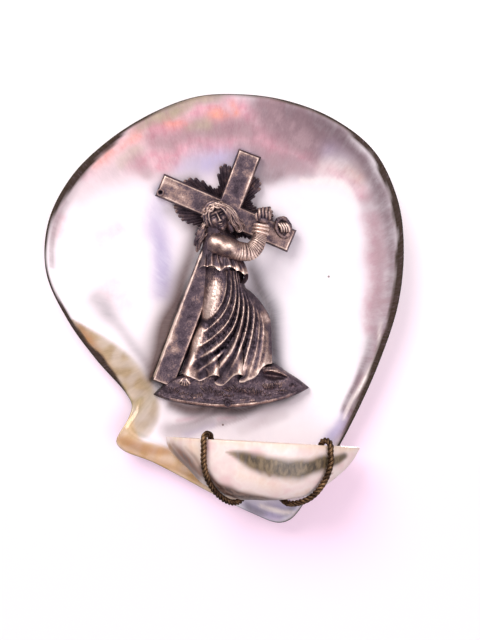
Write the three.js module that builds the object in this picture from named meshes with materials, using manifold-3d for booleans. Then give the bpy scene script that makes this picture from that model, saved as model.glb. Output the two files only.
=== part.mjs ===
// A wall font for holy water: the inside of a pearl-oyster valve, with a cast figure carrying a cross riveted
// on the nacre, and a small shell basin tied across the foot with one length of twisted wire.
//
// Millimetres. The valve has its own coordinates: u to the right, w up, and h out from the wall towards the
// viewer. The cast pieces have theirs: the same u, w along the castings' flat back, and k out from that back.
// The finished font has +X to the right, +Z up and its front towards -Y, with the wall's plane at Y = 0 and
// the nail that it hangs on at the origin.

import * as THREE from 'three';
import { mergeVertices } from 'three/addons/utils/BufferGeometryUtils.js';
import Module from 'manifold-3d';

const wasm = await Module();
wasm.setup();

// Clearances
const TOUCH_GAP = 0.3; // between a piece and the piece that it rests on
const HOLE_GAP = 0.2; // between a shank and the hole that it goes through
const CUT_PAST = 1; // how far a cutting tool runs past the face that it opens
const FAR = 100; // further than any piece reaches, for tools that cut right through

// The valve's outline, clockwise from the top, as points on one closed curve
const VALVE_OUTLINE = [
  [3.2, 76.9], [20.7, 74.7], [39.3, 67.5], [54.5, 55.2], [63.2, 37.2], [65.6, 19.7], [63.8, -1.3],
  [56.8, -23.5], [47.5, -44.5], [38.5, -61], [29.4, -75.4], [23.6, -82.4], [18.9, -83.8], [9, -80.4],
  [-5, -73.7], [-28.3, -61.4], [-40, -56.4], [-42.2, -53.3], [-37.7, -44.5], [-36.5, -39.8],
  [-38.8, -35.2], [-49.9, -22.3], [-60.4, -7.2], [-67.8, 10.3], [-66.8, 29], [-58.1, 46.1],
  [-44.4, 59.6], [-28.3, 69.8], [-12, 75.9],
];
const VALVE_OUTLINE_SAMPLES = 720;
const BELLY_U = 0; // the point of the belly that touches the wall
const BELLY_W = -10;
const DISH_HALF_WIDTH = 67; // from the belly to where the back has risen by DISH_RISE
const DISH_REACH_UP = 87;
const DISH_REACH_DOWN = 95;
const DISH_RISE = 14;
const PAD_HALF_WIDTH = 13.4; // the spot on the belly that is ground flat to sit on the wall
const VALVE_MIDDLE_THICKNESS = 3.6;
const VALVE_LIP_THICKNESS = 1.8;
const VALVE_SPOKES = 84;
const VALVE_RINGS = [0.36, 0.52, 0.67, 0.8, 0.91, 1];

// The basin, a boat-shaped shell
const BASIN_KEEL = [
  [-23.2, -54.2], [-21.3, -57.6], [-16.2, -62.6], [-9.1, -69.4], [-0.1, -73.9], [9, -75.2], [19.7, -75.1],
  [28, -73.8], [35.8, -69.6], [43, -64.4], [47.2, -59.4], [49.2, -55.9],
];
const BASIN_RIM_LEFT_W = -51.6;
const BASIN_RIM_RIGHT_W = -55.2;
const BASIN_RIM_LEAN = 0.065; // rise of the rim for each millimetre out from the wall
const BASIN_FRONT = [
  [-23.2, 11], [-21.3, 17.5], [-15, 26], [-4, 32.6], [10, 35.4], [24, 34], [36, 27.4], [44, 19.8],
  [49.2, 13.6],
];
const BASIN_WALL = 2.2;
const BASIN_END_WALL = 3.2; // the wall is thicker at the two ends, where the sides come together
const BASIN_STATIONS = 26;
const BASIN_SECTION_STEPS = 14;

// The wire that ties the basin on: one length, hooked over the rim at both ends
const WIRE_DIAMETER = 2.4;
const WIRE_SIDES = 8;
const WIRE_STEP = 1.75;
const WIRE_CLEAR = 0.35; // from the wire's skin to the basin's
const WIRE_ARCH_RISE = 1.8; // from the rim's edge to the wire's middle, over the rim
const WIRE_HOOK_DEPTH_DEG = [21, 10]; // places of each hook's leg, in degrees down the inside wall
const WIRE_HOOK_SPARE = 0.2; // added to the leg's clearance, where the wall thickens
// Each run down the outside: place u along the basin, and degrees round it, with 180 at the front rim
const WIRE_LEFT_RUN = [
  [-7.9, 170], [-8, 158], [-7.6, 145], [-6.4, 131], [-4.2, 117], [-1.4, 104], [1.6, 91], [4.2, 77], [6.2, 63],
];
const WIRE_RIGHT_RUN = [
  [36.6, 170], [36.8, 158], [36.1, 144], [34.6, 129], [32.2, 114], [29.2, 102], [25.6, 93], [22, 81],
  [19.8, 66],
];
const WIRE_HOLE_LEFT = [8.6, -72.6];
const WIRE_HOLE_RIGHT = [18, -73.4];
const WIRE_HOLE_GAP = 0.5;
const WIRE_BACK_BEND = 1.7; // radius of the two bends behind the valve, on the wire's middle

// The castings
const UPRIGHT_TOP = [8.25, 55.25];
const UPRIGHT_LENGTH = 93;
const UPRIGHT_WIDTH = 9;
const UPRIGHT_LEAN_DEG = 20.7;
const BEAM_LEFT = [-25.65, 43.35];
const BEAM_LENGTH = 54;
const BEAM_WIDTH = 9;
const BEAM_FALL_DEG = 23.1;
const CROSS_THICKNESS = 4;
const CROSS_BEVEL = 0.6;

const RAY_THICKNESS = 1.4;
const RAY_REACH_ALONG_BEAM = 20;
const RAY_REACH_ALONG_UPRIGHT = 17.4;
const RAY_REACH_BETWEEN = 10.4;
const RAYS_IN_A_QUARTER = 9;
const RAY_NOTCH = 0.9; // depth of the notch between two rays

const GROUND_OUTLINE = [
  [-28.3, -35.6], [-23.3, -37.6], [-13.2, -39.6], [-1.1, -40.6], [10.4, -39.8], [20.5, -37.6],
  [27.2, -34.9], [30.6, -33], [26.5, -29.8], [21.8, -26.8], [17.1, -23.8], [9, -24.6], [-2, -26.4],
  [-14, -27.2], [-21, -29.4], [-25, -32.4],
];
const GROUND_THICKNESS = 6;
const GROUND_BEVEL = 1.6;

// Each section of the figure's dress: height w, left edge, right edge, and how far it stands out
const SKIRT_SECTIONS = [
  [-29.4, -15.2, 12.6, 8.2], [-26, -17.6, 16, 9], [-20.8, -15.9, 16.3, 9.2], [-14, -13.4, 16.1, 9.6],
  [-7, -11.1, 15.8, 9.8], [-3, -10.2, 13.6, 9.2], [3, -10, 9.2, 8.6], [8, -9.8, 6.6, 8],
  [12, -9.4, 6, 7.6],
];
const BLOUSE_SECTIONS = [
  [9, -10, 8, 8.8], [10.8, -10, 7.8, 9.8], [13.4, -9.5, 5.8, 9.2], [18, -9.4, 5, 9.4],
  [22, -9, 3.6, 8.8], [25.6, -7, 0.4, 7.2],
];
const FOLD_COUNT = 8; // folds across the skirt, fanning out from the waist
const FOLD_DEPTH = 1.5;
const LEG_ACROSS = 0.22; // where the leading leg swells the cloth, as a part of the skirt's width
const LEG_SWELL = 1.6;
const LEG_SPREAD = 0.13;
const SKIRT_STEPS = 32;
const BLOUSE_STEPS = 12;
const SHOULDER = { at: [-4.6, 21.2, 8], radius: 4 };
const UPPER_ARM_MIDDLE = { at: [1.6, 19.6, 10], radius: 3.7 };
const ELBOW = { at: [9, 17.9, 9.6], radius: 3.1 };
const WRIST = { at: [11.7, 26.4, 8.2], radius: 2.7 };
const PALM = { at: [12.8, 31, 6.6], radius: 2.7 };
const HEAD_CENTRE = [-4.1, 31.7, 8.4];
const HEAD_HALF_SIZE = [4.8, 6, 4.6];
const HEAD_TILT_DEG = 24;
const NECK = { at: [-4.8, 26.2, 6.4], radius: 3 };
const HAIR_LOCK = [
  { at: [0.2, 32, 6], radius: 2.4 },
  { at: [3.2, 29.4, 5.4], radius: 1.9 },
  { at: [4.2, 26.4, 5], radius: 1.3 },
];
const HAIR_BEHIND = [{ at: [-8.6, 29, 4.4], radius: 2.4 }, { at: [-10.4, 22.2, 3.4], radius: 2.2 }];
const FOOT = [{ at: [-13.6, -29.2, 6], radius: 1.9 }, { at: [-16.6, -31.6, 6.2], radius: 1.6 }];
const FINGER_RADIUS = 0.85;
const FINGER_COUNT = 4;
const FINGER_PITCH = 1.45;
const NEAR_FINGERS = { from: [12.9, 31.4, 8.3], along: [0.96, -0.1, 0], reach: [0.3, 2.6, -0.9] };
const FAR_FINGERS = { from: [19.8, 28.4, 7], along: [0.55, -1, 0], reach: [1.8, 0.6, -0.6] };
const FAR_HAND_CENTRE = [20.5, 27, 4.6];
const FAR_HAND_HALF_SIZE = [3.4, 4.4, 2.9];
const LIMB_SIDES = 10;
const LIMB_RINGS = 6;
const FINGER_SIDES = 6;
const HEAD_SIDES = 14;
const HEAD_RINGS = 9;

// Rivets through the castings and the valve
const RIVET_CROSS_AT = [-25.2, 40.4];
const RIVET_GROUND_AT = [-0.1, -38.4];
const RIVET_SHANK_RADIUS = 0.8;
const RIVET_HEAD_RADIUS = 1.4;
const RIVET_HEAD_HEIGHT = 0.9;
const RIVET_TAIL_HEIGHT = 0.6;
const WALL_CLEAR = 0.2; // from the wall to whatever is sunk in the valve's back
const RIVET_WASHER_RADIUS = 2.4;
const RIVET_WASHER_THICKNESS = 0.6;

// The hanger behind the crossing
const STUD_BELOW_TOP = 15.7; // down the upright from its top end
const STUD_RADIUS = 1.25;
const STUD_FLANGE_RADIUS = 2.6;
const STUD_FLANGE_THICKNESS = 0.8;
const SEAT_RADIUS = 3.9; // the seat filed flat in the valve's back
const HANGER_WASHER_RADIUS = 3.4;
const HANGER_WASHER_THICKNESS = 0.8;
const STRAP_THICKNESS = 0.6;
const STRAP_WIDTH = 6;
const STRAP_NECK_WIDTH = 3.5;
const STRAP_STUD_TO_LOOP = 6;
const STRAP_LOOP_INNER_RADIUS = 1;
const NUT_ACROSS_FLATS = 5;
const NUT_THICKNESS = 1.5;
const STUD_PAST_NUT = 0.4;
const RING_WIRE_DIAMETER = 1.2;
const RING_OUTER_DIAMETER = 12;
const RING_WIRE_SIDES = 8;
const RING_STEPS = 36;
const NAIL_DIAMETER = 2.5;
const ROUND_SIDES = 16;

const degrees = Math.PI / 180;

// Manifold solids and three.js geometries

function solidFrom(geometry) {
  const bare = geometry.index ? geometry.toNonIndexed() : geometry.clone();
  for (const name of Object.keys(bare.attributes)) {
    if (name !== 'position') bare.deleteAttribute(name);
  }
  const merged = mergeVertices(bare, 1e-4);
  return new wasm.Manifold(new wasm.Mesh({
    numProp: 3,
    vertProperties: new Float32Array(merged.attributes.position.array),
    triVerts: new Uint32Array(merged.index.array),
  }));
}

function geometryFrom(solid) {
  const mesh = solid.getMesh();
  const positions = new Float32Array(mesh.numVert * 3);
  for (let vertex = 0; vertex < mesh.numVert; vertex += 1) {
    for (let axis = 0; axis < 3; axis += 1) {
      positions[vertex * 3 + axis] = mesh.vertProperties[vertex * mesh.numProp + axis];
    }
  }
  const geometry = new THREE.BufferGeometry();
  geometry.setAttribute('position', new THREE.BufferAttribute(positions, 3));
  geometry.setIndex(Array.from(mesh.triVerts));
  geometry.computeVertexNormals();
  return geometry;
}

function unite(solids) {
  return solids.reduce((whole, solid) => whole.add(solid));
}

function cut(solid, tools) {
  return tools.reduce((rest, tool) => rest.subtract(tool), solid);
}

// Which way round the rings of a loft turn, seen along the loft: 1 or -1
function turnOfLoft(rings) {
  const middle = (ring) => ring.reduce((sum, point) => sum.clone().add(point)).divideScalar(ring.length);
  const widest = rings[Math.floor(rings.length / 2)];
  const along = middle(rings[rings.length - 1]).sub(middle(rings[0]));
  const area = new THREE.Vector3();
  widest.forEach((point, index) => area.add(point.clone().cross(widest[(index + 1) % widest.length])));
  return Math.sign(area.dot(along));
}

// A closed body through a list of rings that have the same number of points, each ring a closed polygon
function loft(givenRings) {
  const forward = turnOfLoft(givenRings) > 0;
  const rings = forward ? givenRings : givenRings.map((ring) => [...ring].reverse());
  const count = rings[0].length;
  const positions = [];
  const triangles = [];
  for (const ring of rings) {
    for (const point of ring) positions.push(point.x, point.y, point.z);
  }
  for (let row = 0; row < rings.length - 1; row += 1) {
    for (let column = 0; column < count; column += 1) {
      const next = (column + 1) % count;
      const a = row * count + column;
      const b = row * count + next;
      triangles.push(a, b, b + count, a, b + count, a + count);
    }
  }
  const lastRow = (rings.length - 1) * count;
  for (let column = 1; column < count - 1; column += 1) {
    triangles.push(0, column + 1, column);
    triangles.push(lastRow, lastRow + column, lastRow + column + 1);
  }
  const geometry = new THREE.BufferGeometry();
  geometry.setAttribute('position', new THREE.Float32BufferAttribute(positions, 3));
  geometry.setIndex(triangles);
  return geometry;
}

// A round bar along the third axis, from low to high
function roundBar(u, w, low, high, radius, sides = ROUND_SIDES) {
  const bar = new THREE.CylinderGeometry(radius, radius, high - low, sides);
  bar.rotateX(Math.PI / 2);
  bar.translate(u, w, (low + high) / 2);
  return solidFrom(bar);
}

function turned(profile, u, w) {
  const points = profile.map(([radius, z]) => new THREE.Vector2(radius, z));
  const body = new THREE.LatheGeometry(points, ROUND_SIDES);
  body.rotateX(Math.PI / 2);
  body.translate(u, w, 0);
  return solidFrom(body);
}

// The valve's surfaces

function outlinePoints() {
  const nodes = VALVE_OUTLINE.map(([u, w]) => new THREE.Vector3(u, w, 0));
  const curve = new THREE.CatmullRomCurve3(nodes, true, 'centripetal');
  return curve.getPoints(VALVE_OUTLINE_SAMPLES);
}

const outlinePolar = outlinePoints()
  .map((point) => ({
    angle: Math.atan2(point.y - BELLY_W, point.x - BELLY_U),
    radius: Math.hypot(point.x - BELLY_U, point.y - BELLY_W),
  }))
  .sort((first, second) => first.angle - second.angle);

// Distance from the belly to the outline, in the direction of an angle
function outlineRadius(angle) {
  const turn = Math.atan2(Math.sin(angle), Math.cos(angle));
  const after = outlinePolar.findIndex((sample) => sample.angle >= turn);
  const high = outlinePolar[after < 0 ? 0 : after];
  const low = outlinePolar[(after < 1 ? outlinePolar.length : after) - 1];
  const span = (high.angle - low.angle + 2 * Math.PI) % (2 * Math.PI);
  const part = span > 0 ? ((turn - low.angle + 2 * Math.PI) % (2 * Math.PI)) / span : 0;
  return low.radius + (high.radius - low.radius) * part;
}

// Distance from the belly to the ellipse where the back has risen by DISH_RISE
function dishRadius(angle) {
  const reach = Math.sin(angle) > 0 ? DISH_REACH_UP : DISH_REACH_DOWN;
  return 1 / Math.hypot(Math.cos(angle) / DISH_HALF_WIDTH, Math.sin(angle) / reach);
}

function backHeight(u, w) {
  const reach = w > BELLY_W ? DISH_REACH_UP : DISH_REACH_DOWN;
  const spread = Math.hypot((u - BELLY_U) / DISH_HALF_WIDTH, (w - BELLY_W) / reach);
  const pad = PAD_HALF_WIDTH / DISH_HALF_WIDTH;
  return DISH_RISE * Math.max(0, spread ** 2 - pad ** 2);
}

function frontHeight(u, w) {
  const angle = Math.atan2(w - BELLY_W, u - BELLY_U);
  const part = Math.min(1, Math.hypot(u - BELLY_U, w - BELLY_W) / outlineRadius(angle));
  const thickness = VALVE_MIDDLE_THICKNESS + (VALVE_LIP_THICKNESS - VALVE_MIDDLE_THICKNESS) * part ** 2;
  return backHeight(u, w) + thickness;
}

// The valve's rings of points: the inner one follows the flat pad, the outer one the outline
function valveRingPoint(part, angle) {
  const pad = PAD_HALF_WIDTH / DISH_HALF_WIDTH;
  const ease = THREE.MathUtils.smoothstep(part, pad, 1);
  const radius = part * THREE.MathUtils.lerp(dishRadius(angle), outlineRadius(angle), ease);
  return [BELLY_U + radius * Math.cos(angle), BELLY_W + radius * Math.sin(angle)];
}

function valveBlank() {
  const parts = [PAD_HALF_WIDTH / DISH_HALF_WIDTH, ...VALVE_RINGS];
  const positions = [BELLY_U, BELLY_W, frontHeight(BELLY_U, BELLY_W), BELLY_U, BELLY_W, 0];
  const triangles = [];
  const at = (side, ring, spoke) => 2 + (side * parts.length + ring) * VALVE_SPOKES + (spoke % VALVE_SPOKES);
  const quad = (a, b, c, d) => triangles.push(a, b, c, a, c, d);
  for (const height of [frontHeight, backHeight]) {
    for (const part of parts) {
      for (let spoke = 0; spoke < VALVE_SPOKES; spoke += 1) {
        const [u, w] = valveRingPoint(part, (spoke / VALVE_SPOKES) * 2 * Math.PI);
        positions.push(u, w, height(u, w));
      }
    }
  }
  const lip = parts.length - 1;
  for (let spoke = 0; spoke < VALVE_SPOKES; spoke += 1) {
    triangles.push(0, at(0, 0, spoke), at(0, 0, spoke + 1), 1, at(1, 0, spoke + 1), at(1, 0, spoke));
    for (let ring = 0; ring < lip; ring += 1) {
      const next = spoke + 1;
      quad(at(0, ring, spoke), at(0, ring + 1, spoke), at(0, ring + 1, next), at(0, ring, next));
      quad(at(1, ring, spoke), at(1, ring, next), at(1, ring + 1, next), at(1, ring + 1, spoke));
    }
    quad(at(0, lip, spoke), at(1, lip, spoke), at(1, lip, spoke + 1), at(0, lip, spoke + 1));
  }
  const geometry = new THREE.BufferGeometry();
  geometry.setAttribute('position', new THREE.Float32BufferAttribute(positions, 3));
  geometry.setIndex(triangles);
  return solidFrom(geometry);
}

// The basin's surfaces

// Value of a smooth line through points that run from left to right
function lineValue(points, u) {
  const first = points[0];
  const last = points[points.length - 1];
  if (u <= first[0]) return first[1];
  if (u >= last[0]) return last[1];
  const index = points.findIndex((point) => point[0] >= u);
  const [p1, p2] = [points[index - 1], points[index]];
  const p0 = points[Math.max(0, index - 2)];
  const p3 = points[Math.min(points.length - 1, index + 1)];
  const slope = (a, b) => (b[1] - a[1]) / (b[0] - a[0]);
  const span = p2[0] - p1[0];
  const t = (u - p1[0]) / span;
  const startSlope = slope(p0, p2);
  const endSlope = slope(p1, p3);
  return (2 * t ** 3 - 3 * t ** 2 + 1) * p1[1] + (t ** 3 - 2 * t ** 2 + t) * span * startSlope
    + (3 * t ** 2 - 2 * t ** 3) * p2[1] + (t ** 3 - t ** 2) * span * endSlope;
}

const BASIN_LEFT_U = BASIN_KEEL[0][0];
const BASIN_RIGHT_U = BASIN_KEEL[BASIN_KEEL.length - 1][0];

function basinRim(u) {
  const part = (u - BASIN_LEFT_U) / (BASIN_RIGHT_U - BASIN_LEFT_U);
  return THREE.MathUtils.lerp(BASIN_RIM_LEFT_W, BASIN_RIM_RIGHT_W, part);
}

// The section of the basin at u: how deep and how wide it is, and where its middle is, set so that its back
// lies on the valve
function basinSection(u) {
  const rim = basinRim(u);
  const depth = rim - lineValue(BASIN_KEEL, u);
  const front = lineValue(BASIN_FRONT, u);
  let back = frontHeight(u, rim);
  for (let pass = 0; pass < 3; pass += 1) {
    const half = Math.max(0.5, (front - back) / 2);
    let seat = 0;
    for (let part = 0; part <= 1; part += 0.1) {
      const inset = half * (1 - Math.sqrt(1 - part ** 2));
      seat = Math.max(seat, frontHeight(u, rim - part * depth) - inset);
    }
    back = seat + TOUCH_GAP;
  }
  const half = Math.max(0.6, (front - back) / 2);
  return { rim, depth, half, middle: front - half };
}

// A point on the basin: round is 0 at the back rim, 90 degrees at the keel and 180 degrees at the front rim
function basinPoint(u, round, inward = 0) {
  const { rim, depth, half, middle } = basinSection(u);
  const h = middle - (half - inward) * Math.cos(round);
  const lean = BASIN_RIM_LEAN * (h - (middle - half));
  return new THREE.Vector3(u, rim + lean - (depth - inward) * Math.sin(round), h);
}

function basinNormal(u, round) {
  const step = 0.01;
  const along = basinPoint(u + step, round).sub(basinPoint(u - step, round));
  const across = basinPoint(u, round + step).sub(basinPoint(u, round - step));
  return along.cross(across).normalize();
}

// Places along the basin, closer together towards its ends
function basinStations(left, right) {
  return Array.from({ length: BASIN_STATIONS }, (_, index) => {
    const part = (1 - Math.cos((index / (BASIN_STATIONS - 1)) * Math.PI)) / 2;
    return THREE.MathUtils.lerp(left, right, part);
  });
}

function basinBody(left, right, inward, above) {
  const section = (u) => Array.from({ length: BASIN_SECTION_STEPS + 1 }, (_, step) => {
    const point = basinPoint(u, (step / BASIN_SECTION_STEPS) * Math.PI, inward);
    if (step === 0 || step === BASIN_SECTION_STEPS) point.y += above;
    return point;
  });
  return solidFrom(loft(basinStations(left, right).map(section)));
}

function basinSolid() {
  const outside = basinBody(BASIN_LEFT_U, BASIN_RIGHT_U, 0, 0);
  const left = BASIN_LEFT_U + BASIN_END_WALL;
  const right = BASIN_RIGHT_U - 2 * BASIN_END_WALL;
  return outside.subtract(basinBody(left, right, BASIN_WALL, CUT_PAST));
}

// The wire

function offBasin(u, roundDegrees, away) {
  const round = roundDegrees * degrees;
  return basinPoint(u, round).addScaledVector(basinNormal(u, round), away);
}

// From inside the basin, over the front rim and down to where the run on the outside starts
function wireHook(u) {
  const radius = WIRE_DIAMETER / 2;
  const outward = basinNormal(u, 170 * degrees).setY(0).normalize();
  const edge = basinPoint(u, Math.PI).addScaledVector(outward, -BASIN_WALL / 2);
  const bend = BASIN_WALL / 2 + WIRE_CLEAR + radius;
  const inside = BASIN_WALL + WIRE_CLEAR + WIRE_HOOK_SPARE + radius;
  const legs = WIRE_HOOK_DEPTH_DEG.map((depth) => offBasin(u, 180 - depth, -inside));
  const arch = [180, 135, 90, 45, 0].map((turn) => edge.clone()
    .addScaledVector(outward, bend * Math.cos(turn * degrees))
    .add(new THREE.Vector3(0, WIRE_ARCH_RISE * Math.sin(turn * degrees), 0)));
  return [...legs, ...arch];
}

// Down the outside, back under the keel, through the valve and round the bend towards the other hole
function wireSide(run, hole, otherHole) {
  const away = WIRE_DIAMETER / 2 + WIRE_CLEAR;
  const outside = run.map(([u, round]) => offBasin(u, round, away));
  const towards = new THREE.Vector2(...otherHole).sub(new THREE.Vector2(...hole)).normalize();
  const back = backHeight(...hole);
  const bend = [0, 45, 90].map((turn) => {
    const along = WIRE_BACK_BEND * (1 - Math.cos(turn * degrees));
    const down = WIRE_BACK_BEND * Math.sin(turn * degrees) + TOUCH_GAP;
    return new THREE.Vector3(hole[0] + towards.x * along, hole[1] + towards.y * along, back - down);
  });
  const inFront = new THREE.Vector3(...hole, frontHeight(...hole) + WIRE_DIAMETER / 2);
  return [...wireHook(run[0][0]), ...outside, inFront, ...bend];
}

function wireRoute() {
  const left = wireSide(WIRE_LEFT_RUN, WIRE_HOLE_LEFT, WIRE_HOLE_RIGHT);
  const right = wireSide(WIRE_RIGHT_RUN, WIRE_HOLE_RIGHT, WIRE_HOLE_LEFT);
  return [...left, ...right.reverse()];
}

function wireSolid() {
  const curve = new THREE.CatmullRomCurve3(wireRoute(), false, 'centripetal');
  const section = new THREE.Shape(Array.from({ length: WIRE_SIDES }, (_, side) => {
    const turn = (side / WIRE_SIDES) * 2 * Math.PI;
    return new THREE.Vector2(Math.cos(turn), Math.sin(turn)).multiplyScalar(WIRE_DIAMETER / 2);
  }));
  const steps = Math.round(curve.getLength() / WIRE_STEP);
  return solidFrom(new THREE.ExtrudeGeometry(section, { steps, extrudePath: curve, bevelEnabled: false }));
}

// Where the castings lie: their flat back leans so that it rests on the dish at the top of the cross and at
// the tips of the ground

function uprightPoint(down, across = 0) {
  const lean = UPRIGHT_LEAN_DEG * degrees;
  return [
    UPRIGHT_TOP[0] - down * Math.sin(lean) + across * Math.cos(lean),
    UPRIGHT_TOP[1] - down * Math.cos(lean) - across * Math.sin(lean),
  ];
}

function beamPoint(along, across = 0) {
  const fall = BEAM_FALL_DEG * degrees;
  return [
    BEAM_LEFT[0] + along * Math.cos(fall) + across * Math.sin(fall),
    BEAM_LEFT[1] - along * Math.sin(fall) + across * Math.cos(fall),
  ];
}

function castingPlace() {
  const top = uprightPoint(0);
  const byPlace = [...GROUND_OUTLINE].sort((first, second) => first[0] - second[0]);
  const tips = [byPlace[0], byPlace[byPlace.length - 1]];
  const low = tips.reduce((sum, tip) => sum + frontHeight(...tip), 0) / tips.length;
  const lowW = (tips[0][1] + tips[1][1]) / 2;
  const slope = (frontHeight(...top) - low) / (top[1] - lowW);
  const corners = [-0.5, 0.5].flatMap((side) => [
    uprightPoint(0, side * UPRIGHT_WIDTH), uprightPoint(UPRIGHT_LENGTH, side * UPRIGHT_WIDTH),
    beamPoint(0, side * BEAM_WIDTH), beamPoint(BEAM_LENGTH, side * BEAM_WIDTH),
  ]);
  const rests = [...corners, ...GROUND_OUTLINE];
  const lift = Math.max(...rests.map(([u, w]) => frontHeight(u, w) - slope * w)) + TOUCH_GAP;
  return { lean: Math.atan(slope), lift };
}

const castings = castingPlace();
const castingMatrix = new THREE.Matrix4()
  .makeTranslation(0, 0, castings.lift)
  .multiply(new THREE.Matrix4().makeRotationX(castings.lean));

function onValve(solid) {
  return solid.transform(castingMatrix.toArray());
}

// Height k of the valve's back below a place on the castings
function backBelow(u, w) {
  return (backHeight(u, w * Math.cos(castings.lean)) - castings.lift) / Math.cos(castings.lean)
    - w * Math.tan(castings.lean);
}

// The cross

function slab(length, width, thickness, bevel) {
  const outline = new THREE.Shape([
    new THREE.Vector2(0, -width / 2), new THREE.Vector2(length, -width / 2),
    new THREE.Vector2(length, width / 2), new THREE.Vector2(0, width / 2),
  ]);
  const body = new THREE.ExtrudeGeometry(outline, {
    depth: thickness - 2 * bevel, steps: 1, bevelEnabled: bevel > 0, bevelSize: bevel, bevelOffset: -bevel,
    bevelThickness: bevel, bevelSegments: 1,
  });
  body.translate(0, 0, bevel);
  return body;
}

function upright(grow, bevel) {
  const body = slab(UPRIGHT_LENGTH + 2 * grow, UPRIGHT_WIDTH + 2 * grow, CROSS_THICKNESS + 2 * grow, bevel);
  body.translate(-grow, 0, -grow);
  body.rotateZ(-Math.PI / 2 - UPRIGHT_LEAN_DEG * degrees);
  body.translate(...UPRIGHT_TOP, 0);
  return solidFrom(body);
}

function beam(grow, bevel) {
  const body = slab(BEAM_LENGTH + 2 * grow, BEAM_WIDTH + 2 * grow, CROSS_THICKNESS + 2 * grow, bevel);
  body.translate(-grow, 0, -grow);
  body.rotateZ(-BEAM_FALL_DEG * degrees);
  body.translate(...BEAM_LEFT, 0);
  return solidFrom(body);
}

function crossBody(grow = 0, bevel = 0) {
  return upright(grow, bevel).add(beam(grow, bevel));
}

// The middle of the crossing, where the two centre lines meet
function crossing() {
  const lean = UPRIGHT_LEAN_DEG * degrees;
  const fall = BEAM_FALL_DEG * degrees;
  const offset = [UPRIGHT_TOP[0] - BEAM_LEFT[0], UPRIGHT_TOP[1] - BEAM_LEFT[1]];
  const turn = Math.cos(fall) * Math.cos(lean) + Math.sin(fall) * Math.sin(lean);
  const along = (offset[0] * Math.cos(lean) - offset[1] * Math.sin(lean)) / turn;
  return beamPoint(along);
}

// The rays: a plate behind the crossing, long beside the timbers and short between them
function rayPlate(grow = 0) {
  const [u, w] = crossing();
  const beamTurn = -BEAM_FALL_DEG * degrees;
  const uprightTurn = (90 - UPRIGHT_LEAN_DEG) * degrees;
  const points = [];
  for (let quarter = 0; quarter < 4; quarter += 1) {
    const half = Math.floor(quarter / 2) * Math.PI;
    const start = quarter % 2 === 0 ? beamTurn + half : uprightTurn + half;
    const end = quarter % 2 === 0 ? uprightTurn + half : beamTurn + half + Math.PI;
    const reaches = [RAY_REACH_ALONG_BEAM, RAY_REACH_ALONG_UPRIGHT];
    if (quarter % 2 === 1) reaches.reverse();
    for (let ray = 0; ray < RAYS_IN_A_QUARTER; ray += 1) {
      const part = ray / RAYS_IN_A_QUARTER;
      const nextPart = (ray + 1) / RAYS_IN_A_QUARTER;
      const side = part < 0.5 ? reaches[0] : reaches[1];
      const fade = Math.abs(2 * (part + nextPart) / 2 - 1);
      const reach = THREE.MathUtils.lerp(RAY_REACH_BETWEEN, side, fade ** 1.4) + grow;
      const turns = [part, nextPart].map((value) => start + (end - start) * value);
      points.push(new THREE.Vector2(u + reach * Math.cos(turns[0]), w + reach * Math.sin(turns[0])));
      const notched = reach - RAY_NOTCH;
      points.push(new THREE.Vector2(u + notched * Math.cos(turns[1]), w + notched * Math.sin(turns[1])));
    }
  }
  const depth = RAY_THICKNESS + 2 * grow;
  const body = new THREE.ExtrudeGeometry(new THREE.Shape(points), { depth, steps: 1, bevelEnabled: false });
  body.translate(0, 0, -grow);
  return solidFrom(body);
}

// The ground
function groundBody(grow = 0) {
  const outline = new THREE.Shape(GROUND_OUTLINE.map(([u, w]) => new THREE.Vector2(u, w)));
  const body = new THREE.ExtrudeGeometry(outline, {
    depth: GROUND_THICKNESS - GROUND_BEVEL, steps: 1, bevelEnabled: true, bevelSize: GROUND_BEVEL,
    bevelOffset: grow - GROUND_BEVEL, bevelThickness: GROUND_BEVEL, bevelSegments: 2,
  });
  body.translate(0, 0, grow);
  return solidFrom(body).subtract(roundBar(0, 0, -FAR, -grow, FAR));
}

// The figure

function ball({ at, radius }) {
  const body = new THREE.SphereGeometry(radius, LIMB_SIDES, LIMB_RINGS);
  body.rotateX(Math.PI / 2);
  body.translate(...at);
  return solidFrom(body);
}

// Turns and moves a body that stands on its middle along Y so that it runs from one place to another
function layAlong(body, from, to) {
  const start = new THREE.Vector3(...from);
  const line = new THREE.Vector3(...to).sub(start);
  const upright = new THREE.Vector3(0, 1, 0);
  body.applyQuaternion(new THREE.Quaternion().setFromUnitVectors(upright, line.clone().normalize()));
  body.translate(...start.addScaledVector(line, 0.5).toArray());
  return body;
}

function distance(from, to) {
  return new THREE.Vector3(...from).distanceTo(new THREE.Vector3(...to));
}

function limb(joints) {
  const balls = joints.map(ball);
  const bones = joints.slice(1).map((end, index) => {
    const start = joints[index];
    const length = distance(start.at, end.at);
    const bone = new THREE.CylinderGeometry(end.radius, start.radius, length, LIMB_SIDES);
    return solidFrom(layAlong(bone, start.at, end.at));
  });
  return unite([...balls, ...bones]);
}

function egg([u, w, k], halfSize, turn) {
  const body = new THREE.SphereGeometry(1, HEAD_SIDES, HEAD_RINGS);
  body.scale(...halfSize);
  body.rotateZ(turn);
  body.translate(u, w, k);
  return solidFrom(body);
}

// A garment between sections, each flat behind and rounded in front; relief adds to its height across it
function garment(sections, steps, relief) {
  return solidFrom(loft(sections.map(([w, left, right, out]) =>
    Array.from({ length: steps + 1 }, (_, step) => {
      const across = step / steps;
      const round = (4 * across * (1 - across)) ** 0.4;
      const u = THREE.MathUtils.lerp(left, right, across);
      return new THREE.Vector3(u, w, out * round + relief(across, w) * Math.min(1, round * 1.5));
    }))));
}

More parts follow.
